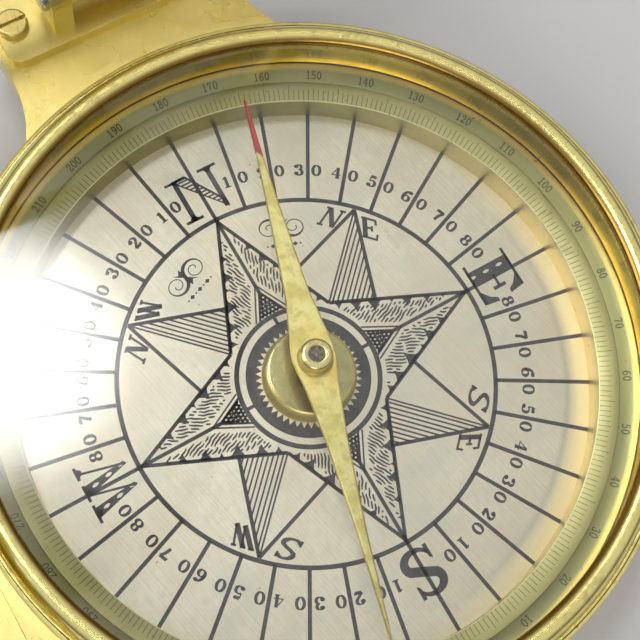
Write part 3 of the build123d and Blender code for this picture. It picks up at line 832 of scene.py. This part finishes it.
bezel_profile = [
    # From the foot of the bore, out under the flange and round its grooved edge
    *around(bezel_bore, bezel_low.z, (0, 0.08), (0.08, 0)),
    *vectors((bezel_skirt, bezel_low.z), (bezel_skirt, rim_z)),
    *around(flange, rim_z, (-0.08, 0), (0, 0.08)),
    *around(flange, flange_z, (0, -0.15), (-0.04, -0.05), (-0.15, 0), (-0.42, 0), (-0.48, -0.08),
            (-0.54, 0)),
    *around(bead_radius, flange_z, (0.16, 0), (0.07, -0.05), (0.03, -0.16)),
    # Over the bead to the lip
    *bead_profile((bead_radius, flange_z - 0.14), (crest_radius, bezel_high.z),
                  (lip_radius + 0.02, lip_z + 0.06), 0.9),
    # Down the bore, past the glass, the spring ring's groove and a fine raised line
    *vectors((lip_radius, lip_z), (lip_radius, glass_high), (bezel_bore, glass_high),
             (bezel_bore, glass_low), (spring_groove, glass_low), (spring_groove, groove_floor),
             (bezel_bore, groove_floor)),
    *around(bezel_bore, bore_line, (0, 0.1), (-0.05, 0.06), (-0.05, -0.06), (0, -0.1)),
]
bezel = lathe("bezel_turned", bezel_profile, bezel_brass(), "compass")
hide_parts("bezel")

scale_profile = [
    Vector((scale_inner, dial_z)),
    *around(scale_inner, scale_inner_z, (0, -0.12), (0.03, -0.04), (0.12, 0)),
    *around(scale_step, scale_step_z, (-0.06, 0), (0, -0.06), (0.06, 0)),
    *around(scale_outer, scale_top, (-0.24, -0.07), (-0.19, -0.11), (-0.16, -0.3), (0, -0.3)),
    Vector((scale_outer, dial_z)),
]
degree_ring = lathe("degree_ring_turned", scale_profile, scale_brass(), "compass")
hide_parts("degree_ring")

# The hub, from its stud through the dial up to the rounded top and the pin's hole
hub_low = node_box("pivot_hub")[0].z
hub_edge = dial_z + hub_wall
hub_profile = [
    *vectors((0, hub_low), (stud_radius, hub_low), (stud_radius, dial_z), (hub_radius, dial_z),
             (hub_radius, hub_edge)),
    *corner((hub_radius, hub_edge), (hub_shoulder, hub_top), (4.0, hub_top), 0.42, 8),
    *around(0, hub_top, (1.3, 0), (1.22, -0.05), (1.12, -0.02), (0.75, -0.02), (0.52, -0.12)),
    *around(0, dial_z, (0.52, 0.1), (0, 0.1)),
]
hub = lathe("pivot_hub_turned", hub_profile, hub_brass(), "compass", 144)
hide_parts("pivot_hub")

# The cap, from the foot in the blade's hole over the collar to the rim round its stone
cap_foot, cap_top = (point.z for point in node_box("needle_cap"))
cap_profile = [
    *vectors((1.05, cap_foot), (1.28, cap_foot), (1.28, needle_high)),
    *around(cap_collar, needle_high, (0, 0), (0, 0.16), (-0.04, 0.22), (-0.12, 0.26)),
    *around(cap_radius, needle_high, (0.01, 0.4), (0, 0.6)),
    *corner((cap_radius, cap_top - 1.0), (cap_radius, cap_top), (0.92, cap_top), 0.5, 9),
    *around(0, cap_top, (0.98, -0.03), (0.90, -0.12), (0.90, -0.4), (1.05, -0.4)),
]
cap = lathe("needle_cap_turned", cap_profile, cap_brass(), "needle", 96)
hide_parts("needle_cap")


# --- Needle ---

needle_tip = 32.6
cap_hole = 1.3
needle_turn = Matrix.Rotation(-math.radians(needle_azimuth), 3, "Z")

# Distance from the middle, north positive, and half width
blade_widths = (
    (needle_tip - 0.3, 0.08), (31.0, 0.19), (25.4, 0.33), (19.5, 0.66), (7.8, 1.4), (1.3, 2.45),
    (0.2, 2.5), (-3.3, 1.9), (-9.5, 1.2), (-19.8, 0.54), (0.3 - needle_tip, 0.1),
)


def needle_half_width(y):
    """Half width of the blade at this distance from the middle."""
    for (y1, w1), (y2, w2) in zip(blade_widths, blade_widths[1:]):
        if y2 <= y <= y1:
            return lerp(w1, w2, (y1 - y) / (y1 - y2))
    return 0.0


def needle_row(mesh, points):
    """Vertices from points whose y runs towards the needle's north point."""
    return [mesh.verts.new(needle_turn @ Vector(p) * MM) for p in points]


def blade(chamfer=0.17, drop=0.13):
    """The blade: a flat plate with a small chamfer round its edge and a round hole for the cap."""
    stations = [needle_tip, *(y for y, _ in blade_widths), -needle_tip]
    right = [Vector((max(needle_half_width(y), 0.02), y)) for y in stations]
    outline = right + [Vector((-p.x, p.y)) for p in reversed(right)]
    mesh = bmesh.new()
    levels = ((needle_low, 0.0), (needle_high - drop, 0.0), (needle_high - 0.035, chamfer * 0.4),
              (needle_high, chamfer))
    sides = []
    for z, inset in levels:
        ring = []
        for p in outline:
            x = math.copysign(max(abs(p.x) - inset, 0.012), p.x)
            y = p.y - math.copysign(inset if abs(p.y) > needle_tip - 0.1 else 0, p.y)
            ring.append((x, y, z))
        sides.append(needle_row(mesh, ring))
    circle = arc(0, 0, cap_hole, cap_hole, 90, -270, 10)[:-1]
    holes = [needle_row(mesh, [(p.x, p.y, z) for p in circle]) for z in (needle_low, needle_high)]
    band(mesh, sides)
    band(mesh, holes[::-1])
    half = len(outline) // 2
    middle = len(circle) // 2
    for ring, bore in ((sides[0], holes[0]), (sides[-1], holes[1])):
        mesh.faces.new(ring[:half] + bore[middle:0:-1] + [bore[0]])
        mesh.faces.new(ring[half:] + [bore[0]] + bore[:middle - 1:-1])
    bmesh.ops.triangulate(mesh, faces=[f for f in mesh.faces if len(f.verts) > 4])
    bmesh.ops.recalc_face_normals(mesh, faces=mesh.faces)
    piece = piece_from(mesh, "needle_blade_filed", needle_brass(), "needle", flat_faces=True)
    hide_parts("needle_blade")


def lacquered_tip(start=25.2, slant=0.45, skin=0.02):
    """A skin of red lacquer over the north point, with a hand-cut slanting edge."""
    mesh = bmesh.new()
    low, shoulder, top = needle_low - skin, needle_high - 0.08, needle_high + skin
    rows = []
    for y in (start, 27.0, 29.0, 31.0, needle_tip - 0.35):
        half = needle_half_width(y) + skin
        lean = slant if y == start else 0
        section = ((-half, low), (-half, shoulder), (-half + 0.1, top),
                   (half - 0.1, top), (half, shoulder), (half, low))
        rows.append(needle_row(mesh, [(x, y - lean * x / half, z) for x, z in section]))
    band(mesh, rows)
    mesh.faces.new(rows[0])
    mesh.faces.new(rows[-1])
    bmesh.ops.recalc_face_normals(mesh, faces=mesh.faces)
    lacquer = plain("red_lacquer", RED_LACQUER, 0.0, 0.30, 0.5)
    piece_from(mesh, "needle_red_lacquer", lacquer, "needle")


blade()
lacquered_tip()


# --- Dial engraving: lengths are shares of the rose's radius ---

STAR_TIP = 0.985
STAR_VALLEY = 0.3005
RING_OUTER = 0.392
SPINE_APEX = 0.577
BORDER_FOOT = 0.1
EDGE_WIDTH = 0.020
HAIR = 0.0095


def on_dial(x, y, lift):
    return x, y, dial_z + lift


def rose(share):
    return share * rose_radius


def on_rose(points, azimuth):
    """Points of the rose on the sheet, from the frame of a point at this azimuth."""
    return spin([Vector(p) * rose_radius for p in points], azimuth)


def carve(art, points, azimuth, width):
    """A line of the rose."""
    art.ribbon(on_rose(points, azimuth), rose(width))


def star_edge(t):
    """The star's edge at a share t of the way from tip to valley, in the point's own frame."""
    return Vector((STAR_VALLEY * t, lerp(STAR_TIP, STAR_VALLEY, t)))


def star_run(side):
    """The way the carving runs in one half of a point: towards the middle, and in to the spine."""
    return Vector((-side * 0.45, -1)).normalized()


# Each thorn's place along the star's edge, from tip to valley, and its size
CUSPS = ((0.16, 0.4), (0.275, 0.7), (0.415, 0.95), (0.53, 0.5), (0.645, 1.15), (0.80, 1.05),
         (0.92, 0.7))


def draw_border_cusps(art, azimuth, side):
    """Dark thorns that grow inward from a star edge and lean the way the carving runs."""
    along = (star_edge(1) - star_edge(0)).normalized()
    lean = (star_run(1) * 0.6 + Vector((-0.55, 0))).normalized()
    # Shares of the half width along the edge and of the way out to the thorn's tip
    outline = ((-1, 0), (-0.4, 0.22), (-0.12, 0.62), (0, 1), (0.42, 0.5), (0.95, 0.12), (1.7, 0))
    for share, size in CUSPS:
        foot = star_edge(share + rng.uniform(-0.012, 0.012))
        reach = lean * 0.062 * size * rng.uniform(0.85, 1.15)
        thorn = [foot + along * 0.044 * size * width + reach * out for width, out in outline]
        art.polygon(on_rose([(p.x * side, p.y) for p in thorn], azimuth))


def inside_half_point(point, side):
    """Whether a place lies between a star point's edge and the border beside its spine."""
    share = (STAR_TIP - point.y) / (STAR_TIP - STAR_VALLEY)
    outer = STAR_VALLEY * share - 0.014 - 0.024 * share
    border = (SPINE_APEX - point.y) / (SPINE_APEX - RING_OUTER) * BORDER_FOOT
    inner = max(border, 0) + 0.024
    return inner < point.x * side < outer and point.length > RING_OUTER + 0.02


def draw_bark(art, azimuth, side):
    """Wavy cuts side by side that fill half a star point between its edge and its spine."""
    run = star_run(side)
    across = Vector((run.y, -run.x))
    start = Vector((0, 0.95))
    lane = -0.62
    while lane < 0.62:
        reach = rng.uniform(0, 0.07)
        wave = lane * 5 + rng.uniform(-0.5, 0.5)
        while reach < 1.1:
            length = rng.uniform(0.06, 0.13)
            cut = []
            for i in range(13):
                distance = reach + length * i / 12
                sway = 0.0034 * math.sin(wave + distance * 52)
                sway += 0.0012 * math.sin(distance * 140 + lane * 40)
                p = run * distance + across * (lane + sway) + start
                if inside_half_point(p, side):
                    cut.append(p)
                elif cut:
                    break
            if len(cut) > 2:
                swell = [math.sin(math.pi * (i + 0.8) / (len(cut) + 0.6)) for i in range(len(cut))]
                widths = [rose(0.0090) * (0.55 + 0.6 * s) for s in swell]
                art.ribbon(on_rose(cut, azimuth), widths)
            reach += length + rng.uniform(0.010, 0.020)
        lane += 0.0178


def draw_point(art, azimuth):
    """One cardinal point of the star, with its spine, borders and cross-hatched triangle."""
    for side in (-1, 1):
        carve(art, [(side * star_edge(t).x, star_edge(t).y) for t in (-0.015, 1)], azimuth, EDGE_WIDTH)
        draw_border_cusps(art, azimuth, side)
        draw_bark(art, azimuth, side)
        for inset, drop, width in ((0, 0, 0.009), (0.025, 0.045, 0.012)):
            border = [(0, SPINE_APEX - drop), (side * (BORDER_FOOT - inset), RING_OUTER - 0.01)]
            carve(art, border, azimuth, width)
    spine_foot = (0, SPINE_APEX - 0.05)
    carve(art, [(0, 1), spine_foot], azimuth, EDGE_WIDTH)
    triangle = on_rose([spine_foot, (0.072, RING_OUTER), (-0.072, RING_OUTER)], azimuth)
    for bearing in (azimuth + 90, azimuth + 24, azimuth - 24):
        art.hatch(triangle, polar(1, bearing), rose(0.0205), rose(0.0098))


def draw_kite(art, azimuth):
    """One intercardinal point: two edges and a half hatched beside its middle line."""
    foot = spin([star_edge(0.66)], -45)[0]
    tip = (0, STAR_TIP)
    valley = (0, 0.425)
    for side in (-1, 1):
        carve(art, [tip, (side * foot.x, foot.y)], azimuth, EDGE_WIDTH)
    carve(art, [tip, valley], azimuth, HAIR)
    half = on_rose([tip, (-foot.x, foot.y), valley], azimuth)
    art.hatch(half, polar(1, azimuth), rose(0.0245), rose(HAIR), 0.9)


def draw_centre(art, teeth=46):
    """The rings about the hub and the toothed dark disc under it."""
    art.ring(rose(0.366), rose(RING_OUTER))
    for azimuth in range(0, 360, 90):
        art.tick(rose(0.325), rose(0.37), azimuth, rose(EDGE_WIDTH))
    azimuths = [180 / teeth * i for i in range(2 * teeth)]
    inner = [polar(rose(0.281 if i % 2 else 0.248), a) for i, a in enumerate(azimuths)]
    art.strip([polar(rose(0.332), a) for a in azimuths], inner, True)


rose_art = Artwork(on_dial)
rose_art.ring(rose(0.988), rose(1.012))
for bearing in range(0, 360, 90):
    draw_point(rose_art, bearing)
    draw_kite(rose_art, bearing + 45)
draw_centre(rose_art)
rose_art.finish("dial_compass_rose", wax_finish, "compass")

TICK_WIDTH = 0.021
NUMERAL_RADIUS = 1.178
NUMERAL_HEIGHT = 0.066
NUMERAL_OFFSET = 2.3

numeral_art = Artwork(on_dial)
for bearing in range(0, 360, 10):
    numeral_art.tick(rose(1.0), scale_inner + 0.02, bearing, rose(TICK_WIDTH))
    from_meridian = min(bearing % 180, 180 - bearing % 180)
    if from_meridian not in (0, 90):
        for symbol, side in zip(str(from_meridian), (-1, 1)):
            numeral_art.text(symbol, DIGITS, rose(NUMERAL_RADIUS), bearing + side * NUMERAL_OFFSET,
                             rose(NUMERAL_HEIGHT), 1.28, broad=0.26, fine=0.10)
numeral_art.finish("dial_quadrant_numerals", wax_finish, "compass")


# --- Dial letters ---

CARDINAL_BASE = 1.045
CARDINAL_HEIGHT = 0.255


class Letter:
    """A large letter in a box one unit high, its top outward, centred on an azimuth."""

    def __init__(self, art, azimuth, width):
        self.art = art
        self.azimuth = azimuth
        self.width = width
        self.height = rose(CARDINAL_HEIGHT)

    def at(self, point):
        x = (point[0] - self.width / 2) * self.height
        return spin([(x, rose(CARDINAL_BASE) + point[1] * self.height)], self.azimuth)[0]

    def fill(self, *points):
        self.art.polygon([self.at(p) for p in points])

    def line(self, start, end, width):
        self.art.ribbon([self.at(start), self.at(end)], width * self.height)

    def open_stroke(self, corners, spacing, line):
        """A broad stroke drawn as an outline filled with level lines."""
        sheet = [self.at(c) for c in corners]
        self.art.ribbon(sheet + [sheet[0]], line * self.height)
        level = self.at((1, 0)) - self.at((0, 0))
        self.art.hatch(sheet, level, spacing * self.height, line * 0.75 * self.height)

    def pierced_stroke(self, *corners, openings=3, gap=0.034, steps=36):
        """A broad filled stroke with a row of small lens-shaped openings along its middle.

        The corners run bottom left, top left, top right, bottom right.
        """
        low_left, high_left, high_right, low_right = vectors(*corners)
        for side in (-1, 1):
            outer = []
            inner = []
            for i in range(steps + 1):
                t = i / steps
                left = lerp(low_left, high_left, t)
                right = lerp(low_right, high_right, t)
                wide = gap * max(0.0, math.sin(2 * math.pi * openings * t)) ** 0.7
                wide = min(wide, (right - left).length * 0.3)
                middle = (left + right) / 2 + (right - left).normalized() * wide * side
                outer.append(self.at(left if side < 0 else right))
                inner.append(self.at(middle))
            self.art.strip(outer, inner)

    def serif(self, x, y, half):
        """A slab with bracketed shoulders that taper into the stem."""
        up = 0.11 if y < 0.5 else -0.11
        self.line((x - half, y), (x + half, y), 0.065)
        for side in (-1, 1):
            self.fill((x, y), (x + side * half * 0.8, y), (x + side * 0.08, y + up * 0.4),
                      (x + side * 0.04, y + up), (x, y + up))


def cardinal_n(letter):
    for x in (0.2, 0.98):
        letter.line((x, 0), (x, 1), 0.11)
    letter.serif(0.2, 0.02, 0.2)
    letter.serif(0.98, 0.98, 0.22)
    letter.line((-0.02, 0.98), (0.46, 0.98), 0.055)
    letter.open_stroke([(0.17, 1), (0.46, 1), (1.0, 0.14), (1.0, 0.0)], 0.080, 0.05)


def cardinal_e(letter):
    letter.pierced_stroke((0.14, 0), (0.14, 1), (0.42, 1), (0.42, 0))
    for y, reach, tip in ((0.975, 0.90, 0.66), (0.025, 0.94, 0.34)):
        letter.line((-0.02, y), (reach, y), 0.065)
        letter.fill((reach - 0.34, y), (reach, y), (reach + 0.05, tip), (reach - 0.04, tip),
                    (reach - 0.12, lerp(y, tip, 0.55)))
    letter.line((0.42, 0.51), (0.70, 0.51), 0.06)
    letter.fill((0.66, 0.51), (0.66, 0.66), (0.74, 0.66), (0.74, 0.36), (0.66, 0.36))


def cardinal_s(letter):
    spine = (arc(0.45, 0.74, 0.28, 0.22, 25, 215) + vectors((0.45, 0.5))
             + arc(0.47, 0.26, 0.29, 0.22, 35, -160))
    swell = [math.sin(math.pi * i / (len(spine) - 1)) ** 1.5 for i in range(len(spine))]
    letter.art.ribbon([letter.at(p) for p in spine], [letter.height * (0.07 + 0.13 * s) for s in swell])
    letter.fill((0.68, 0.99), (0.76, 0.99), (0.76, 0.68), (0.7, 0.72), (0.66, 0.86))
    letter.fill((0.22, 0.01), (0.14, 0.01), (0.14, 0.34), (0.2, 0.3), (0.24, 0.14))


def cardinal_w(letter):
    for x in (0.1, 0.58):
        letter.pierced_stroke((x + 0.26, 0.0), (x, 0.98), (x + 0.23, 0.98), (x + 0.33, 0.05))
    for x in (0.37, 0.85):
        letter.line((x, 0.02), (x + 0.24, 0.98), 0.05)
    for x, half in ((0.2, 0.2), (0.66, 0.18), (1.1, 0.14)):
        letter.serif(x, 0.98, half)


letter_art = Artwork(on_dial)
cardinal_n(Letter(letter_art, 0, 1.18))
cardinal_e(Letter(letter_art, 90, 0.92))
cardinal_s(Letter(letter_art, 180, 0.9))
cardinal_w(Letter(letter_art, 270, 1.24))

SMALL_MIDDLE = 0.902
SMALL_HEIGHT = 0.112
SMALL_OFFSET = 0.106
SMALL_LEAN = 0.32
SMALL_SQUEEZE = {"N": 0.95, "E": 0.98, "S": 1.4, "W": 0.88}
SMALL_CENTRE = {"N": 0.54, "E": 0.42, "S": 0.56, "W": 0.55}


def draw_small_letter(art, symbol, bearing, side):
    """A small letter beside an intercardinal point, leaning along the point's edge."""

    def to_sheet(point):
        up = point.y - 0.5
        x = (point.x - SMALL_CENTRE[symbol]) * SMALL_SQUEEZE[symbol] - side * SMALL_LEAN * up
        place = (side * SMALL_OFFSET + x * SMALL_HEIGHT, SMALL_MIDDLE + up * SMALL_HEIGHT)
        return on_rose([place], bearing)[0]

    art.glyph(LETTERS[symbol], to_sheet, rose(SMALL_HEIGHT), broad=0.24, fine=0.11)


for bearing, pair in ((45, "NE"), (135, "SE"), (225, "SW"), (315, "NW")):
    for symbol, side in zip(pair, (-1, 1)):
        draw_small_letter(letter_art, symbol, bearing, side)


def draw_scroll(art, bearing, side, bowl=0.052, steps=40):
    """A penman's double scroll with a leaf at its middle, over a row of lozenges and dots."""
    half = []
    for i in range(steps + 1):
        angle = math.radians(180 + 560 * i / steps)
        radius = bowl * (1 - i / steps) ** 0.75 + 0.008
        half.append(Vector((bowl + 0.008 + math.cos(angle) * radius, math.sin(angle) * radius)))
    line = [-p for p in reversed(half[1:])] + half
    widths = [rose(0.0055 + 0.017 * math.exp(-((i - steps) / 7.5) ** 2)) for i in range(len(line))]
    home = Vector((0, 0.845))
    art.ribbon(on_rose([Vector((p.x * side * 1.12, p.y)) + home for p in line], bearing), widths)
    leaf = vectors((0.0, 0.0), (0.016, 0.014), (0.046, 0.052), (0.020, 0.034), (-0.004, 0.058),
                   (-0.008, 0.022))
    for lift in (1, -1):
        art.polygon(on_rose([Vector((p.x * side, p.y)) * lift + home for p in leaf], bearing))
    for place in range(-3, 4):
        size = 0.016 if place % 2 == 0 else 0.007
        at = Vector((place * 0.030, 0.745))
        lozenge = vectors((-1, 0), (0, 0.8), (1, 0), (0, -0.8))
        art.polygon(on_rose([at + p * size for p in lozenge], bearing))


draw_scroll(letter_art, -21, -1)
draw_scroll(letter_art, 20, 1)
letter_art.finish("dial_letters", wax_finish, "compass")


# --- Degree ring graduations and figures ---

SCALE_OFFSET = 0.56
FIGURE_RADIUS = 36.42


def scale_level(radius):
    """Level of the degree ring's top at this radius."""
    if radius < scale_step:
        share = (radius - scale_inner - 0.12) / (scale_step - scale_inner - 0.18)
        return lerp(scale_inner_z, scale_step_z, share)
    share = (radius - scale_step - 0.06) / (scale_outer - scale_step - 0.06)
    return lerp(scale_step_z, scale_top, share)


def on_scale(x, y, lift):
    return x, y, scale_level(math.hypot(x, y)) + lift


graduation_art = Artwork(on_scale, 0.008)
for degree in range(360):
    length = 2.36 if degree % 10 == 0 else 1.69 if degree % 5 == 0 else 1.28
    start = scale_inner + 0.13
    graduation_art.tick(start, start + length, 180 - degree + SCALE_OFFSET, 0.075)
graduation_art.finish("degree_graduations", cut_finish, "compass")

figure_art = Artwork(on_scale, 0.01)
for degree in range(0, 360, 10):
    figure_art.text(str(degree), DIGITS, FIGURE_RADIUS, 180 - degree + SCALE_OFFSET, 0.95, 0.96,
                    broad=0.14, fine=0.12)
figure_art.finish("degree_figures", cut_finish, "compass")


# --- Hour ring and latitude arc ---

ROMAN_HOURS = ("XII", "I", "II", "III", "IIII", "V", "VI", "VII", "VIII", "IX", "X", "XI")
POINTER_HOUR = 18
HOUR_RADIUS = 38.0
HOUR_HEIGHT = 2.9


def on_ring(face):
    """Places artwork on the hour face (1) or on the back (-1), north of the sheet at the hinge."""

    def place(x, y, lift):
        flat = ring_origin + ring_east * x * face + ring_down * y
        return flat + ring_normal * face * (ring_half + lift)

    return place


for face, body_name in ((1, "hour_face"), (-1, "back_face")):
    hour_art = Artwork(on_ring(face))
    for radius in (ring_inner + 0.55, ring_inner + 2.0, ring_outer - 0.6):
        hour_art.ring(radius - 0.05, radius + 0.05)
    for step in range(96):
        reach = 1.45 if step % 4 == 0 else 0.9 if step % 2 == 0 else 0.55
        hour_art.tick(ring_inner + 0.55, ring_inner + 0.55 + reach, step * 3.75, 0.12)
    for hour in range(24):
        if face == 1 and hour == POINTER_HOUR:
            continue
        hour_art.text(ROMAN_HOURS[hour % 12], ROMAN, HOUR_RADIUS, hour * 15, HOUR_HEIGHT, 0.62, 0.02,
                      broad=0.17, fine=0.06)
    hour_art.finish(f"hour_numerals_{body_name}", wax_finish, "ring")

arc_middle = (arc_inner + arc_outer) / 2
arc_line = 0.3 - (arc_outer - arc_inner) / 2
LATITUDE_HEIGHT = 1.8
LATITUDE_LEVEL = 0.85


def on_arc(x, y, lift):
    """Sheet x is the distance along the arc's middle from its foot, and y is outward from it."""
    angle = x / arc_middle
    radius = arc_middle + y
    return arc_face_x - lift, hinge.y - radius * math.cos(angle), hinge.z + radius * math.sin(angle)


def arc_figures(art, symbols, middle):
    """Figures centred on a place along the arc, tops outward, that read from its west face."""

    def to_sheet(x, y):
        return Vector((middle - x * LATITUDE_HEIGHT, LATITUDE_LEVEL + y * LATITUDE_HEIGHT))

    art.write(symbols, DIGITS, to_sheet, LATITUDE_HEIGHT, broad=0.13, fine=0.07)


arc_art = Artwork(on_arc)
for degree in range(4, 72):
    x = arc_middle * math.radians(degree)
    latitude = 90 - degree
    reach = 2.0 if latitude % 10 == 0 else 1.5 if latitude % 5 == 0 else 1.0
    arc_art.ribbon([(x, arc_line), (x, arc_line + reach)], 0.1)
    if latitude % 10 == 0:
        arc_figures(arc_art, str(latitude), x)
arc_art.ribbon([(arc_middle * math.radians(a), arc_line) for a in range(3, 73)], 0.1)
arc_art.finish("latitude_graduations", wax_finish, "arc")


# --- Floor, light and camera ---


def floor():
    finish = Finish("studio_floor", (0.60, 0.60, 0.605), 0.0, 0.85)
    finish.clouds((40, 3, 0.3, 0.8, 0.2, (0.56, 0.56, 0.565)))
    finish.dent(1.2, 3, 0.02)
    mesh = bmesh.new()
    bmesh.ops.create_grid(mesh, x_segments=2, y_segments=2, size=1.5)
    plane = mesh_object(mesh, "studio_floor", finish.done())


def studio_sky():
    """A pale tent, brightest overhead and dim near the horizon."""
    world = bpy.data.worlds.new("studio")
    scene.world = world
    sky = Graph(world)
    split = sky.node("SeparateXYZ", {0: sky.node("TexCoord").outputs["Generated"]})
    rise = sky.ramp(split.outputs["Z"], 0.02, 0.92, 0.13, 0.72, interpolation_type="SMOOTHSTEP")
    background = sky.tree.nodes["Background"]
    sky.plug(background.inputs["Color"], (1.0, 0.995, 0.985, 1))
    sky.plug(background.inputs["Strength"], rise)


def softbox(name, middle, toward, reach, core, rim, glow):
    """A round lamp seen in the glass, off along a direction, that fades from its core to its rim."""
    material = bpy.data.materials.new(name)
    graph = Graph(material)
    graph.tree.nodes.clear()
    place = graph.node("TexCoord").outputs["Object"]
    distance = graph.node("VectorMath", {0: place}, operation="LENGTH").outputs["Value"]
    fades = [
        graph.ramp(distance, core * MM, outer * MM, strength, 0.0, interpolation_type="SMOOTHSTEP")
        for outer, strength in ((rim * 0.6, glow), (rim, glow * 0.16))
    ]
    light = graph.node("Emission", {"Strength": graph.math("ADD", *fades)}).outputs[0]
    graph.node("OutputMaterial", {"Surface": light})
    mesh = bmesh.new()
    bmesh.ops.create_circle(mesh, cap_ends=True, segments=96, radius=rim * MM)
    lamp = mesh_object(mesh, name, material)
    toward = Vector(toward).normalized()
    lamp.location = (Vector(middle) + toward * reach) * MM
    lamp.rotation_euler = toward.to_track_quat("Z", "Y").to_euler()
    lamp.visible_camera = False


def area_light(name, power, size, place):
    """A disc lamp that points at the case. The size and place are in metres."""
    data = bpy.data.lights.new(name, "AREA")
    data.shape = "DISK"
    data.energy = power
    data.size = size
    light = scene_object(name, data)
    light.location = place
    light.rotation_euler = (Vector((0, 0, 0.01)) - light.location).to_track_quat("-Z", "Y").to_euler()


def camera(place, azimuth, tilt, roll, focal_share, sensor=36):
    """The eye, tilted from straight down. The focal length is a share of the sensor's width."""
    data = bpy.data.cameras.new("photo_view")
    data.sensor_width = sensor
    data.lens = sensor * focal_share
    data.clip_start = 0.01
    look = Vector((*(polar(1, azimuth) * math.sin(tilt)), -math.cos(tilt)))
    level_right = look.cross(UP).normalized()
    up = level_right.cross(look) * math.cos(roll) + level_right * math.sin(roll)
    right = look.cross(up)
    eye = scene_object("photo_view", data)
    eye.matrix_world = Matrix.Translation(place) @ Matrix((right, up, -look)).transposed().to_4x4()
    scene.camera = eye


floor()
scene.view_settings.view_transform = "Standard"
studio_sky()
softbox("north_softbox", (-30.9, 17.0, glass_high), (0.021, 0.306, 0.951), 600, 38, 140, 15.3)
area_light("west_softbox", 1.72, 0.45, (-0.52, 0.30, 0.48))
area_light("south_softbox", 1.2, 0.40, (-0.40, -0.50, 0.42))
eye_place = Vector((-34.1, -29.3, dial_z + 154.66)) * MM
camera(eye_place, 48.23, math.radians(18.55), math.radians(-18.74), focal_share=2.17390625)
